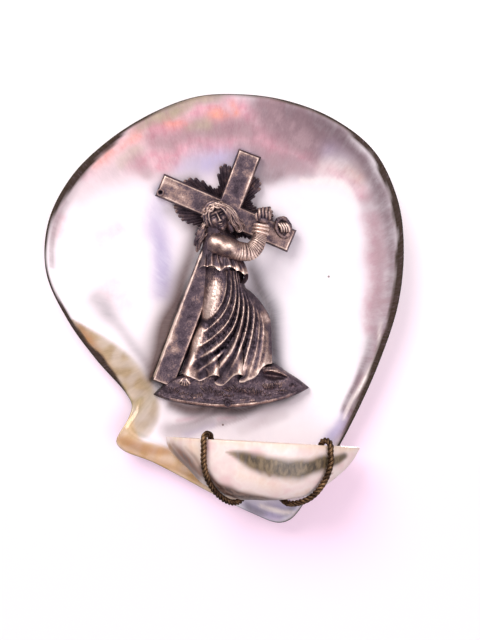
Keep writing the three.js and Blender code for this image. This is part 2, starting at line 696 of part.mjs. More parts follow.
// Folds that deepen from the waist to the hem, and the leading leg under them
function skirtRelief(across, w) {
  const [hem, waist] = [SKIRT_SECTIONS[0][0], SKIRT_SECTIONS[SKIRT_SECTIONS.length - 1][0]];
  const down = (waist - w) / (waist - hem);
  const fold = Math.cos(2 * Math.PI * FOLD_COUNT * across) * (FOLD_DEPTH / 2) * Math.min(1, 0.4 + down);
  const leg = LEG_SWELL * Math.exp(-(((across - LEG_ACROSS) / LEG_SPREAD) ** 2)) * Math.sin(Math.PI * down);
  return fold + leg;
}

function fingerBar(root, tip) {
  const bar = new THREE.CapsuleGeometry(FINGER_RADIUS, distance(root, tip), 2, FINGER_SIDES);
  return solidFrom(layAlong(bar, root, tip));
}

function fingers({ from, along, reach }) {
  return unite(Array.from({ length: FINGER_COUNT }, (_, finger) => {
    const shift = (finger - (FINGER_COUNT - 1) / 2) * FINGER_PITCH;
    const root = from.map((value, axis) => value + along[axis] * shift);
    const tip = root.map((value, axis) => value + reach[axis]);
    return fingerBar(root, tip);
  }));
}

function figureBody() {
  const body = unite([
    garment(SKIRT_SECTIONS, SKIRT_STEPS, skirtRelief), garment(BLOUSE_SECTIONS, BLOUSE_STEPS, () => 0),
    limb(FOOT),
    limb([NECK, SHOULDER]), limb([SHOULDER, UPPER_ARM_MIDDLE, ELBOW, WRIST, PALM]),
    limb([NECK, ...HAIR_BEHIND]), limb([NECK, ...HAIR_LOCK]),
    egg(HEAD_CENTRE, HEAD_HALF_SIZE, HEAD_TILT_DEG * degrees),
    fingers(NEAR_FINGERS),
  ]);
  const below = roundBar(0, 0, -FAR, 0, FAR);
  return cut(body, [below, crossBody(TOUCH_GAP), rayPlate(TOUCH_GAP), groundBody(TOUCH_GAP)]);
}

function farHandBody() {
  const palm = egg(FAR_HAND_CENTRE, FAR_HAND_HALF_SIZE, 0);
  const behind = roundBar(0, 0, -FAR, RAY_THICKNESS, FAR);
  return cut(palm.add(fingers(FAR_FINGERS)), [behind, crossBody(TOUCH_GAP)]);
}

// Rivets

function rivetTool(u, w) {
  const radius = RIVET_SHANK_RADIUS + HOLE_GAP;
  return roundBar(u, w, -FAR, FAR, radius);
}

// Highest place of the valve's back under a disc, which is where a seat for the disc is filed flat
function seatHeight(u, w, radius, heightAt) {
  const heights = Array.from({ length: ROUND_SIDES }, (_, step) => {
    const turn = (step / ROUND_SIDES) * 2 * Math.PI;
    return heightAt(u + radius * Math.cos(turn), w + radius * Math.sin(turn));
  });
  return Math.max(...heights);
}

// The seat for a rivet's washer, deep enough for the tail to stay clear of the wall
function rivetSeat([u, w]) {
  const tail = WALL_CLEAR + RIVET_TAIL_HEIGHT + RIVET_WASHER_THICKNESS + 2 * TOUCH_GAP;
  const deepest = (tail - castings.lift) / Math.cos(castings.lean) - w * Math.tan(castings.lean);
  return Math.max(deepest, seatHeight(u, w, RIVET_WASHER_RADIUS, backBelow));
}

function rivetSeatTool([u, w]) {
  const seat = rivetSeat([u, w]);
  return roundBar(u, w, -FAR, seat, RIVET_WASHER_RADIUS + TOUCH_GAP);
}

function rivetBody([u, w], face) {
  const headBase = face + TOUCH_GAP;
  const tailFace = rivetSeat([u, w]) - 2 * TOUCH_GAP - RIVET_WASHER_THICKNESS;
  const dome = (base, rise) => [0, 30, 60, 90].map((turn) => [
    RIVET_HEAD_RADIUS * Math.cos(turn * degrees),
    base + rise * Math.sin(turn * degrees),
  ]);
  const tail = dome(tailFace, -RIVET_TAIL_HEIGHT).reverse();
  tail[0][0] = 0;
  const head = dome(headBase, RIVET_HEAD_HEIGHT);
  head[3][0] = 0;
  return turned([...tail, [RIVET_SHANK_RADIUS, tailFace], [RIVET_SHANK_RADIUS, headBase], ...head], u, w);
}

function rivetWasherBody([u, w]) {
  const high = rivetSeat([u, w]) - TOUCH_GAP;
  const low = high - RIVET_WASHER_THICKNESS;
  const inner = RIVET_SHANK_RADIUS + HOLE_GAP;
  return roundBar(u, w, low, high, RIVET_WASHER_RADIUS)
    .subtract(roundBar(u, w, low - CUT_PAST, high + CUT_PAST, inner));
}

// The hanger, square to the wall

const [STUD_U, STUD_PLANE_W] = uprightPoint(STUD_BELOW_TOP);
const STUD_W = STUD_PLANE_W * Math.cos(castings.lean);
const hangerSeat = seatHeight(STUD_U, STUD_W, HANGER_WASHER_RADIUS, backHeight);
const strapTop = hangerSeat - 2 * TOUCH_GAP - HANGER_WASHER_THICKNESS;
const strapLow = strapTop - STRAP_THICKNESS;
const nutTop = strapLow - TOUCH_GAP;
const nutLow = nutTop - NUT_THICKNESS;
const loopOuterRadius = STRAP_LOOP_INNER_RADIUS + STRAP_THICKNESS;
const PIVOT_U = STUD_U;
const PIVOT_W = STUD_W + STRAP_STUD_TO_LOOP;
const PIVOT_H = strapTop - loopOuterRadius;
const ringRadius = (RING_OUTER_DIAMETER - RING_WIRE_DIAMETER) / 2;
const NAIL_W = PIVOT_W + 2 * ringRadius - RING_WIRE_DIAMETER / 2 - NAIL_DIAMETER / 2;

function studBody() {
  const castingBack = castings.lift + STUD_PLANE_W * Math.sin(castings.lean);
  const top = castingBack - TOUCH_GAP - STUD_FLANGE_RADIUS * Math.sin(castings.lean);
  const low = nutLow - STUD_PAST_NUT;
  return turned([
    [0, low], [STUD_RADIUS, low], [STUD_RADIUS, top - STUD_FLANGE_THICKNESS],
    [STUD_FLANGE_RADIUS, top - STUD_FLANGE_THICKNESS], [STUD_FLANGE_RADIUS, top], [0, top],
  ], STUD_U, STUD_W);
}

function studTool(low, high) {
  return roundBar(STUD_U, STUD_W, low, high, STUD_RADIUS + HOLE_GAP);
}

function hangerWasherBody() {
  const high = hangerSeat - TOUCH_GAP;
  const low = high - HANGER_WASHER_THICKNESS;
  const disc = roundBar(STUD_U, STUD_W, low, high, HANGER_WASHER_RADIUS);
  return disc.subtract(studTool(low - CUT_PAST, high + CUT_PAST));
}

function crossBar(radius, width) {
  const bar = new THREE.CylinderGeometry(radius, radius, width, ROUND_SIDES);
  bar.rotateZ(Math.PI / 2);
  bar.translate(PIVOT_U, PIVOT_W, PIVOT_H);
  return solidFrom(bar);
}

function strapBody() {
  const middle = (strapLow + strapTop) / 2;
  const neck = new THREE.BoxGeometry(STRAP_NECK_WIDTH, STRAP_STUD_TO_LOOP, STRAP_THICKNESS);
  neck.translate(STUD_U, STUD_W + STRAP_STUD_TO_LOOP / 2, middle);
  const plate = roundBar(STUD_U, STUD_W, strapLow, strapTop, STRAP_WIDTH / 2);
  const loop = crossBar(loopOuterRadius, STRAP_NECK_WIDTH);
  const eye = crossBar(STRAP_LOOP_INNER_RADIUS, STRAP_NECK_WIDTH + CUT_PAST);
  const whole = unite([plate, solidFrom(neck), loop]);
  return cut(whole, [studTool(strapLow - CUT_PAST, strapTop + CUT_PAST), eye]);
}

function nutBody() {
  const sides = 6;
  const corner = NUT_ACROSS_FLATS / 2 / Math.cos(Math.PI / sides);
  const hexagon = roundBar(STUD_U, STUD_W, nutLow, nutTop, corner, sides);
  return hexagon.subtract(studTool(nutLow - CUT_PAST, nutTop + CUT_PAST));
}

function ringGeometry() {
  const ring = new THREE.TorusGeometry(ringRadius, RING_WIRE_DIAMETER / 2, RING_WIRE_SIDES, RING_STEPS);
  ring.translate(PIVOT_U, PIVOT_W - ringRadius, PIVOT_H);
  return ring;
}

// The valve, drilled for the wire, the rivets and the stud
function valveSolid() {
  const wireHoles = [WIRE_HOLE_LEFT, WIRE_HOLE_RIGHT].map(([u, w]) =>
    roundBar(u, w, -CUT_PAST, FAR, WIRE_DIAMETER / 2 + WIRE_HOLE_GAP));
  const rivetHoles = [RIVET_CROSS_AT, RIVET_GROUND_AT].flatMap((place) =>
    [onValve(rivetTool(...place)), onValve(rivetSeatTool(place))]);
  const hangerHoles = [
    studTool(-CUT_PAST, FAR), roundBar(STUD_U, STUD_W, -CUT_PAST, hangerSeat, SEAT_RADIUS),
  ];
  return cut(valveBlank(), [...wireHoles, ...rivetHoles, ...hangerHoles]);
}

// Materials

const finishes = {
  nacre: { color: '#e6dcdf', roughness: 0.22, metalness: 0 },
  basinShell: { color: '#d9c8bc', roughness: 0.35, metalness: 0 },
  whiteMetal: { color: '#8f8580', roughness: 0.42, metalness: 1 },
  brownBrass: { color: '#6a4d3a', roughness: 0.5, metalness: 1 },
  brass: { color: '#a9864f', roughness: 0.4, metalness: 1 },
};

function meshOf(name, geometry, finish) {
  const material = new THREE.MeshStandardMaterial({ name: finish, ...finishes[finish] });
  const mesh = new THREE.Mesh(geometry, material);
  mesh.name = name;
  return mesh;
}

function solidMesh(name, solid, finish) {
  return meshOf(name, geometryFrom(solid), finish);
}

// The assembly

function castingGroup() {
  const holes = [RIVET_CROSS_AT, RIVET_GROUND_AT].map((place) => rivetTool(...place));
  const group = new THREE.Group();
  group.position.z = castings.lift;
  group.rotation.x = castings.lean;
  const groundUnderCross = cut(groundBody(), [crossBody(TOUCH_GAP), holes[1]]);
  group.add(
    solidMesh('cross', cut(crossBody(0, CROSS_BEVEL), [rayPlate(TOUCH_GAP), holes[0]]), 'whiteMetal'),
    solidMesh('glory_rays', rayPlate(), 'whiteMetal'),
    solidMesh('ground', groundUnderCross, 'whiteMetal'),
    solidMesh('figure', figureBody(), 'whiteMetal'),
    solidMesh('far_hand', farHandBody(), 'whiteMetal'),
    solidMesh('rivet_cross', rivetBody(RIVET_CROSS_AT, CROSS_THICKNESS), 'whiteMetal'),
    solidMesh('rivet_ground', rivetBody(RIVET_GROUND_AT, GROUND_THICKNESS), 'whiteMetal'),
    solidMesh('rivet_washer_cross', rivetWasherBody(RIVET_CROSS_AT), 'brass'),
    solidMesh('rivet_washer_ground', rivetWasherBody(RIVET_GROUND_AT), 'brass'),
  );
  return group;
}

function hangerGroup() {
  const group = new THREE.Group();
  group.add(
    solidMesh('hanger_stud', studBody(), 'brass'),
    solidMesh('hanger_washer', hangerWasherBody(), 'brass'),
    solidMesh('hanger_strap', strapBody(), 'brass'),
    solidMesh('hanger_nut', nutBody(), 'brass'),
    meshOf('hanger_ring', ringGeometry(), 'brass'),
  );
  return group;
}

function valveFrame() {
  const group = new THREE.Group();
  group.rotation.x = Math.PI / 2;
  group.position.set(-PIVOT_U, 0, -NAIL_W);
  group.add(
    solidMesh('shell_valve', valveSolid(), 'nacre'),
    solidMesh('font_basin', basinSolid(), 'basinShell'),
    solidMesh('cradle_wire', wireSolid(), 'brownBrass'),
    castingGroup(),
    hangerGroup(),
  );
  return group;
}

const font = new THREE.Group();
font.name = 'holy_water_font';
font.add(valveFrame());

export default font;
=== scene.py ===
# %% [markdown]
# # A wall font for holy water
# The font is one valve of a black-lip pearl oyster, seen from inside. A cast figure with a cross is riveted
# on it, and a small shell for the water is tied across its foot with twisted wire. Every piece is made
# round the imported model's frame, in metres, in the same place.

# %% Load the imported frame
import math

import bmesh
import bpy
import numpy as np
from mathutils import Matrix, Vector


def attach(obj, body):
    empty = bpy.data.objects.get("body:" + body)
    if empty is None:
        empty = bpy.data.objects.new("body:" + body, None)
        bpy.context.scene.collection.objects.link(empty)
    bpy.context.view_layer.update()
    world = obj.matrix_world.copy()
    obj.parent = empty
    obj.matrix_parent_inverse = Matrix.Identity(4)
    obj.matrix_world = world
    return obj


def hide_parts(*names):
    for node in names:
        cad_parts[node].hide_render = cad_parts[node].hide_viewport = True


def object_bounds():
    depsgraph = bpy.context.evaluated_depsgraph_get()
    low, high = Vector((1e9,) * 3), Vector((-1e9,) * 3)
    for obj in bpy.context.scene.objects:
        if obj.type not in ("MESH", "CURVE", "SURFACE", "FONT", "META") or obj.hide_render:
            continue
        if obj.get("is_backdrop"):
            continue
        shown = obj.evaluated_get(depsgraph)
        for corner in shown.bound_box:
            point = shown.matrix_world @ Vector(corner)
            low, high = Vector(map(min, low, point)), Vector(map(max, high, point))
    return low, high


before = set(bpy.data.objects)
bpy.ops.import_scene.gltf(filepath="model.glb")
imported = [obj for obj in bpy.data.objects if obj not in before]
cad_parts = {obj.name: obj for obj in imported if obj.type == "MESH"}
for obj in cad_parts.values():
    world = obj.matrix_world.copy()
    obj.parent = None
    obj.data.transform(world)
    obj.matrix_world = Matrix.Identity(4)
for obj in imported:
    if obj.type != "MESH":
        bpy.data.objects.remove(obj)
cad_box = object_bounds()
print("CAD box, metres:", [tuple(round(value, 4) for value in corner) for corner in cad_box])

# %% [markdown]
# ## Measures and curves
# Places are in millimetres on the valve: u to the right, w up and h out of the wall. The castings lie on a
# plane that leans a few degrees, with k as the height above it. Outlines, folds and wire are smooth lines
# through a few knots. Blender's curves could draw them, but a formula can be read at any place, as sculpted
# surfaces need.

# %% Curves through knots
MM = 0.001
TOUCH_GAP = 0.3


def smooth_line(knots, count, closed=False):
    """Points on a centripetal Catmull-Rom curve through the knots, which may carry any number of values."""
    knots = np.asarray(knots, float)
    before, after = 2 * knots[:1] - knots[1:2], 2 * knots[-1:] - knots[-2:-1]
    if closed:
        before, after = knots[-1:], knots[:2]
    padded = np.concatenate([before, knots, after])
    spans = len(padded) - 3
    place = np.linspace(0, spans, count)
    first = np.minimum(place.astype(int), spans - 1)
    part = (place - first)[:, None]
    p0, p1, p2, p3 = (padded[first + step] for step in range(4))
    d0, d1, d2 = (
        np.sqrt(np.maximum(np.linalg.norm(b - a, axis=1, keepdims=True), 1e-9))
        for a, b in ((p0, p1), (p1, p2), (p2, p3))
    )
    start = ((p1 - p0) / d0 - (p2 - p0) / (d0 + d1) + (p2 - p1) / d1) * d1
    end = ((p2 - p1) / d1 - (p3 - p1) / (d1 + d2) + (p3 - p2) / d2) * d1
    bend = 3 * (p2 - p1) - 2 * start - end
    twist = 2 * (p1 - p2) + start + end
    return p1 + start * part + bend * part**2 + twist * part**3


def line_value(knots, place):
    """Value at a place of a smooth line through knots that run from left to right."""
    x, y = np.asarray(knots, float).T
    place = np.clip(place, x[0], x[-1])
    high = np.clip(np.searchsorted(x, place), 1, len(x) - 1)
    low = high - 1
    before, beyond = np.maximum(low - 1, 0), np.minimum(high + 1, len(x) - 1)
    span = x[high] - x[low]
    t = (place - x[low]) / span
    start = (y[high] - y[before]) / (x[high] - x[before])
    end = (y[beyond] - y[low]) / (x[beyond] - x[low])
    return (
        (2 * t**3 - 3 * t**2 + 1) * y[low]
        + (t**3 - 2 * t**2 + t) * span * start
        + (3 * t**2 - 2 * t**3) * y[high]
        + (t**3 - t**2) * span * end
    )


def blend(low, high, part):
    return low + (high - low) * part


def ease(value, low, high):
    """0 below low, 1 above high, and smooth between them."""
    part = np.clip((value - low) / (high - low), 0, 1)
    return part * part * (3 - 2 * part)


def stroke(u, w, knots, steps=5, power=2.0):
    """How strongly each place lies under a brush stroke, whose knots are u, w, half width and strength.
    A power of 2 is a soft brush, less gives it a crest, and more a flat top."""
    line = smooth_line(knots, (len(knots) - 1) * steps + 1)
    best = np.zeros_like(u, float)
    for a, b in zip(line[:-1], line[1:]):
        along = b[:2] - a[:2]
        part = np.clip(((u - a[0]) * along[0] + (w - a[1]) * along[1]) / max(along @ along, 1e-9), 0, 1)
        away = np.hypot(u - a[0] - part * along[0], w - a[1] - part * along[1])
        half, strength = blend(a[2], b[2], part), blend(a[3], b[3], part)
        best = np.maximum(best, strength * np.exp(-((away / half) ** power)))
    return best


def ripples(u, w, length, seed, waves=14):
    """Soft unevenness between about -1 and 1, from crossing waves of about one length in millimetres."""
    rng = np.random.default_rng(seed)
    total = np.zeros_like(u, float)
    for _ in range(waves):
        turn, phase, scale = rng.uniform(0, 2 * np.pi), rng.uniform(0, 2 * np.pi), rng.uniform(0.7, 1.5)
        total += np.sin(2 * np.pi * scale / length * (u * np.cos(turn) + w * np.sin(turn)) + phase)
    return total / np.sqrt(waves)

# %% [markdown]
# ## The valve's two faces
# A pearl-oyster valve is a shallow dish that rests on its belly, rises towards the margin and thins towards
# the lip. It could be sculpted, but as two formulas its faces can carry every other piece.

# %% The valve's outline and faces
VALVE_OUTLINE = [
    (3.2, 76.9), (20.7, 74.7), (39.3, 67.5), (54.5, 55.2), (63.2, 37.2), (65.6, 19.7), (63.8, -1.3),
    (56.8, -23.5), (47.5, -44.5), (38.5, -61), (29.4, -75.4), (23.6, -82.4), (18.9, -83.8), (9, -80.4),
    (-5, -73.7), (-28.3, -61.4), (-40, -56.4), (-42.2, -53.3), (-37.7, -44.5), (-36.5, -39.8),
    (-38.8, -35.2), (-49.9, -22.3), (-60.4, -7.2), (-67.8, 10.3), (-66.8, 29), (-58.1, 46.1),
    (-44.4, 59.6), (-28.3, 69.8), (-12, 75.9),
]
BELLY = (0, -10)
DISH_HALF_WIDTH, DISH_REACH_UP, DISH_REACH_DOWN, DISH_RISE = 67, 87, 95, 14
PAD_HALF_WIDTH = 13.4
MIDDLE_THICKNESS, LIP_THICKNESS = 3.6, 1.8

outline = smooth_line(VALVE_OUTLINE, 721, closed=True)
outline_angles = np.arctan2(outline[:, 1] - BELLY[1], outline[:, 0] - BELLY[0])
outline_radii = np.hypot(outline[:, 0] - BELLY[0], outline[:, 1] - BELLY[1])


def polar(u, w):
    return np.arctan2(w - BELLY[1], u - BELLY[0]), np.hypot(u - BELLY[0], w - BELLY[1])


def outline_radius(angle):
    return np.interp(angle, outline_angles, outline_radii, period=2 * np.pi)


def back_height(u, w):
    reach = np.where(w > BELLY[1], DISH_REACH_UP, DISH_REACH_DOWN)
    spread = np.hypot((u - BELLY[0]) / DISH_HALF_WIDTH, (w - BELLY[1]) / reach)
    return DISH_RISE * np.maximum(0, spread**2 - (PAD_HALF_WIDTH / DISH_HALF_WIDTH) ** 2)


def front_height(u, w):
    angle, radius = polar(u, w)
    part = np.minimum(1, radius / outline_radius(angle))
    return back_height(u, w) + blend(MIDDLE_THICKNESS, LIP_THICKNESS, part**2)


print("valve outline, mm:", outline.min(0).round(1), outline.max(0).round(1))

# %% [markdown]
# ## Where the castings and the nail are
# The castings' flat back touches the dish at the top of the cross and at the ends of the ground. The
# hanger's stud comes out behind the cross, and the nail that the font hangs on is the frame's origin.

# %% The castings' plane and the row frame
UPRIGHT_TOP, UPRIGHT_LENGTH, UPRIGHT_WIDTH, UPRIGHT_LEAN = (8.25, 55.25), 93, 9, math.radians(20.7)
BEAM_LEFT, BEAM_LENGTH, BEAM_WIDTH, BEAM_FALL = (-25.65, 43.35), 54, 9, math.radians(23.1)
CROSS_THICKNESS = 4
GROUND_OUTLINE = [
    (-28.3, -35.6), (-23.3, -37.6), (-13.2, -39.6), (-1.1, -40.6), (10.4, -39.8), (20.5, -37.6),
    (27.2, -34.9), (30.6, -33), (26.5, -29.8), (21.8, -26.8), (17.1, -23.8), (9, -24.6), (-2, -26.4),
    (-14, -27.2), (-21, -29.4), (-25, -32.4),
]
STUD_BELOW_TOP, STUD_TO_PIVOT, PIVOT_TO_NAIL = 15.7, 6, 8.95


def upright_point(down, across=0):
    lean_u, lean_w = math.sin(UPRIGHT_LEAN), math.cos(UPRIGHT_LEAN)
    return UPRIGHT_TOP[0] - down * lean_u + across * lean_w, UPRIGHT_TOP[1] - down * lean_w - across * lean_u


def beam_point(along, across=0):
    fall_u, fall_w = math.cos(BEAM_FALL), math.sin(BEAM_FALL)
    return BEAM_LEFT[0] + along * fall_u + across * fall_w, BEAM_LEFT[1] - along * fall_w + across * fall_u


def casting_place():
    """The lean of the castings' back and its height above the wall, so that it just rests on the dish."""
    top, left, right = upright_point(0), GROUND_OUTLINE[0], GROUND_OUTLINE[7]
    low = (front_height(*left) + front_height(*right)) / 2
    slope = (front_height(*top) - low) / (top[1] - (left[1] + right[1]) / 2)
    sides = -0.5, 0.5
    ends = [upright_point(down, side * UPRIGHT_WIDTH) for down in (0, UPRIGHT_LENGTH) for side in sides]
    ends += [beam_point(along, side * BEAM_WIDTH) for along in (0, BEAM_LENGTH) for side in sides]
    u, w = np.array(ends + GROUND_OUTLINE).T
    return math.atan(slope), float((front_height(u, w) - slope * w).max()) + TOUCH_GAP


casting_lean, casting_lift = casting_place()
STUD_U, stud_plane_w = upright_point(STUD_BELOW_TOP)
STUD_W = stud_plane_w * math.cos(casting_lean)
NAIL_U, NAIL_W = STUD_U, STUD_W + STUD_TO_PIVOT + PIVOT_TO_NAIL


def from_valve(u, w, h):
    """Valve millimetres as points of the row frame, in metres."""
    return np.stack([np.asarray(u) - NAIL_U, -np.asarray(h), np.asarray(w) - NAIL_W], axis=-1) * MM


def from_casting(u, w, k):
    """Millimetres on the castings' plane as points of the row frame, in metres."""
    lean, rise = math.cos(casting_lean), math.sin(casting_lean)
    return from_valve(u, w * lean - k * rise, w * rise + k * lean + casting_lift)


print(f"castings lean {math.degrees(casting_lean):.2f} degrees, lifted {casting_lift:.2f} mm")
print(f"nail at u {NAIL_U:.2f}, w {NAIL_W:.2f} mm")
print(f"valve left edge at {from_valve(outline[:, 0].min(), 0, 0)[0]:.5f} m")

# %% [markdown]
# ## How a mesh is made here
# Most pieces are a flat grid whose vertices are moved onto a surface, as clay is pressed into a mould. A
# tube is the same grid rolled round a line, and a turned piece is a spun profile. Modifiers could bend them
# too, but a formula keeps every relief true to its size. A finished mesh moves to the row frame in one go.

# %% Grids, reliefs, tubes and turned shapes
MERGE_MM = 0.001


def add_sheet(bm, columns, rows, place):
    """Adds a grid and moves its vertices to place(across, down), where both run from 0 to 1."""
    verts = bmesh.ops.create_grid(bm, x_segments=columns, y_segments=rows, size=0.5)["verts"]
    flat = np.array([vertex.co for vertex in verts])
    for vertex, point in zip(verts, np.stack(place(flat[:, 0] + 0.5, flat[:, 1] + 0.5), axis=-1)):
        vertex.co = point
    return verts


def add_relief(bm, columns, rows, surface, base=0.0):
    """A raised surface with walls: the outermost ring of the grid drops to the base and is closed below."""

    def place(across, down):
        inner = [np.clip((v * n - 1) / (n - 2), 0, 1) for v, n in ((across, columns), (down, rows))]
        u, w, k = surface(*inner)
        edge = (np.minimum(across, 1 - across) * columns < 0.5) | (np.minimum(down, 1 - down) * rows < 0.5)
        return u, w, np.where(edge, base, k)

    verts = add_sheet(bm, columns, rows, place)
    bmesh.ops.remove_doubles(bm, verts=verts, dist=MERGE_MM)
    close_holes(bm)


def close_holes(bm):
    bmesh.ops.holes_fill(bm, edges=[edge for edge in bm.edges if edge.is_boundary], sides=0)


def frames_along(route):
    """Two unit vectors across a route at each of its points, which turn as little as they can."""
    along = np.gradient(route, axis=0)
    along /= np.linalg.norm(along, axis=1, keepdims=True)
    side = np.zeros_like(route)
    start = np.cross(along[0], (0.0, 0.0, 1.0))
    side[0] = start if np.linalg.norm(start) > 0.1 else np.cross(along[0], (0.0, 1.0, 0.0))
    side[0] /= np.linalg.norm(side[0])
    for step in range(1, len(route)):
        kept = side[step - 1] - along[step] * (side[step - 1] @ along[step])
        side[step] = kept / np.linalg.norm(kept)
    return side, np.cross(along, side)


def add_tube(bm, route, radius, sides, shape=None):
    """A tube round a route. shape(across, around) may scale its radius from place to place."""
    route = np.asarray(route, float)
    radius = np.broadcast_to(np.asarray(radius, float), len(route))
    side, other = frames_along(route)

    def place(across, around):
        index = np.rint(across * (len(route) - 1)).astype(int)
        turn = 2 * np.pi * around
        size = radius[index] * (1 if shape is None else shape(across, around))
        return (route[index] + (size * np.cos(turn))[:, None] * side[index]
                + (size * np.sin(turn))[:, None] * other[index]).T

    verts = add_sheet(bm, len(route) - 1, sides, place)
    bmesh.ops.remove_doubles(bm, verts=verts, dist=MERGE_MM)


def rounded(count, length, radius, taper=1.0):
    """Radii along a bar with round ends; taper is its far radius as a part of the near one."""
    place = np.linspace(0, length, count)
    near = np.minimum(1, place / radius)
    far = np.minimum(1, (length - place) / (radius * taper))
    size = blend(radius, radius * taper, place / length)
    return size * np.sqrt(1 - (1 - near) ** 2) * np.sqrt(1 - (1 - far) ** 2)


def add_spun(bm, profile, steps, u, w, closed=False):
    """A profile of (radius, height) pairs, spun round an axis that stands on (u, w)."""
    before = set(bm.verts)
    line = [bm.verts.new((radius, 0, height)) for radius, height in profile]
    pairs = list(zip(line[:-1], line[1:])) + ([(line[-1], line[0])] if closed else [])
    edges = [bm.edges.new(pair) for pair in pairs]
    bmesh.ops.spin(bm, geom=line + edges, cent=(0, 0, 0), axis=(0, 0, 1), angle=2 * math.pi, steps=steps,
                   use_merge=True)
    made = [vertex for vertex in bm.verts if vertex not in before]
    bmesh.ops.translate(bm, verts=made, vec=(u, w, 0))
    return made

# %% [markdown]
# ## Finishing a piece
# A finished piece gets smooth shading with its creases kept, a body to ride on, and two measures for the
# metal's polish: how far each place stands proud, close up and further off. Hands and cloths reach the proud
# places, and patina stays in the hollows.

# %% Finish a mesh and measure its relief
def vertex_places(mesh):
    points = np.empty(len(mesh.vertices) * 3)
    mesh.vertices.foreach_get("co", points)
    return points.reshape(-1, 3)


def set_attribute(mesh, name, values):
    kind, field = ("FLOAT", "value") if np.ndim(values) == 1 else ("FLOAT_VECTOR", "vector")
    mesh.attributes.new(name, kind, "POINT").data.foreach_set(field, np.asarray(values, np.float32).ravel())


def smoothed(points, edges, rounds):
    count = len(points)
    degree = np.maximum(np.bincount(edges.ravel(), minlength=count), 1)[:, None]
    for _ in range(rounds):
        total = np.stack([
            np.bincount(edges[:, 0], points[edges[:, 1], axis], count)
            + np.bincount(edges[:, 1], points[edges[:, 0], axis], count)
            for axis in range(3)
        ], axis=1)
        points = (points + total / degree) / 2
    return points


def mark_relief(obj, rub, reaches=(("proud", 0.4), ("standing", 1.8))):
    """Stores how far each vertex stands out of its surroundings, in millimetres, at two reaches.
    rub is how much of that hands can reach, 1 where nothing shields it."""
    mesh = obj.data
    points = vertex_places(mesh)
    edges = np.empty(len(mesh.edges) * 2, int)
    mesh.edges.foreach_get("vertices", edges)
    edges = edges.reshape(-1, 2)
    normals = np.empty(len(points) * 3)
    mesh.vertex_normals.foreach_get("vector", normals)
    step = np.linalg.norm(points[edges[:, 0]] - points[edges[:, 1]], axis=1).mean() / MM
    for name, reach in reaches:
        rounds = int(np.clip(2 * (reach / step) ** 2, 2, 160))
        moved = points - smoothed(points, edges, rounds)
        set_attribute(mesh, name, (moved * normals.reshape(-1, 3)).sum(1) / MM * rub)


def mesh_of(bm, name):
    mesh = bpy.data.meshes.new(name)
    bm.to_mesh(mesh)
    bm.free()
    return mesh


def add_object(name, data):
    obj = bpy.data.objects.new(name, data)
    bpy.context.scene.collection.objects.link(obj)
    return obj


def finish(bm, name, to_row, slot, materials, replaced=(), body="font", crease=40, rub=1.0, worn=()):
    """Closes a piece's seams, moves it to the row frame, and hangs it on its body.
    rub is a share or a function of the place, and the strokes of wear mark polish, some of them
    painted highlights."""
    bmesh.ops.remove_doubles(bm, verts=bm.verts, dist=MERGE_MM)
    bmesh.ops.recalc_face_normals(bm, faces=bm.faces)
    points = np.array([vertex.co for vertex in bm.verts])
    for vertex, point in zip(bm.verts, to_row(*points.T)):
        vertex.co = point
    mesh = mesh_of(bm, name)
    mesh.shade_smooth()
    mesh.set_sharp_from_angle(angle=math.radians(crease))
    for material in materials:
        mesh.materials.append(material)
    obj = add_object(name, mesh)
    mark_relief(obj, rub(*points.T) if callable(rub) else rub)
    u, w, _ = points.T
    set_attribute(mesh, "worn", sum((stroke(u, w, line) for line in worn), np.zeros_like(u)))
    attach(obj, body)
    if replaced:
        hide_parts(*replaced)
    sides = vertex_places(mesh)
    print(f"{name}: {len(mesh.polygons)} faces, {((sides.max(0) - sides.min(0)) / MM).round(1)} mm")
    return obj

# %% [markdown]
# ## Materials
# One small function adds a node with its settings and links, and one turns a hex value to Blender's linear
# colour. A socket that has the same value all over gets it directly.

# %% Colours and nodes
def linear(hex_colour):
    parts = [int(hex_colour[at:at + 2], 16) / 255 for at in (1, 3, 5)]
    return [part / 12.92 if part <= 0.04045 else ((part + 0.055) / 1.055) ** 2.4 for part in parts] + [1.0]


def new_material(name):
    material = bpy.data.materials.new(name)
    material.use_nodes = True
    material.node_tree.nodes.clear()
    return material, material.node_tree


def add_node(tree, kind, sockets=None, stops=None, **settings):
    """Adds a node. sockets maps an input's name or number to a value, to the output that feeds it, or to a
    node whose first output does."""
    node = tree.nodes.new("ShaderNode" + kind)
    for name, value in settings.items():
        setattr(node, name, value)
    for key, value in (sockets or {}).items():
        if isinstance(value, bpy.types.Node):
            value = next(output for output in value.outputs if output.enabled)
        if isinstance(value, bpy.types.NodeSocket):
            tree.links.new(value, node.inputs[key])
        elif isinstance(value, str):
            node.inputs[key].default_value = linear(value)
        else:
            node.inputs[key].default_value = value
    for index, (position, colour) in enumerate(stops or []):
        elements = node.color_ramp.elements
        element = elements[index] if index < 2 else elements.new(position)
        element.position = position
        element.color = linear(colour) if isinstance(colour, str) else (colour, colour, colour, 1)
    return node


# Numbers of a Mix node's colour sockets, which share their names with its other kinds
MIX_FACTOR, MIX_A, MIX_B = 0, 6, 7

# %% [markdown]
# ## Nacre
# The inside of the valve is mother-of-pearl: thin plates of aragonite, polished. It is nearly white in the
# middle, and rose, mauve and lilac towards the margin. Its zones could be an image, but strokes on the mesh
# stay sharp at any size. A clear coat gives the polish.

# %% Mother-of-pearl
SPECK_PITCH, BORDER_GRAIN = 17, 1 / 1.6


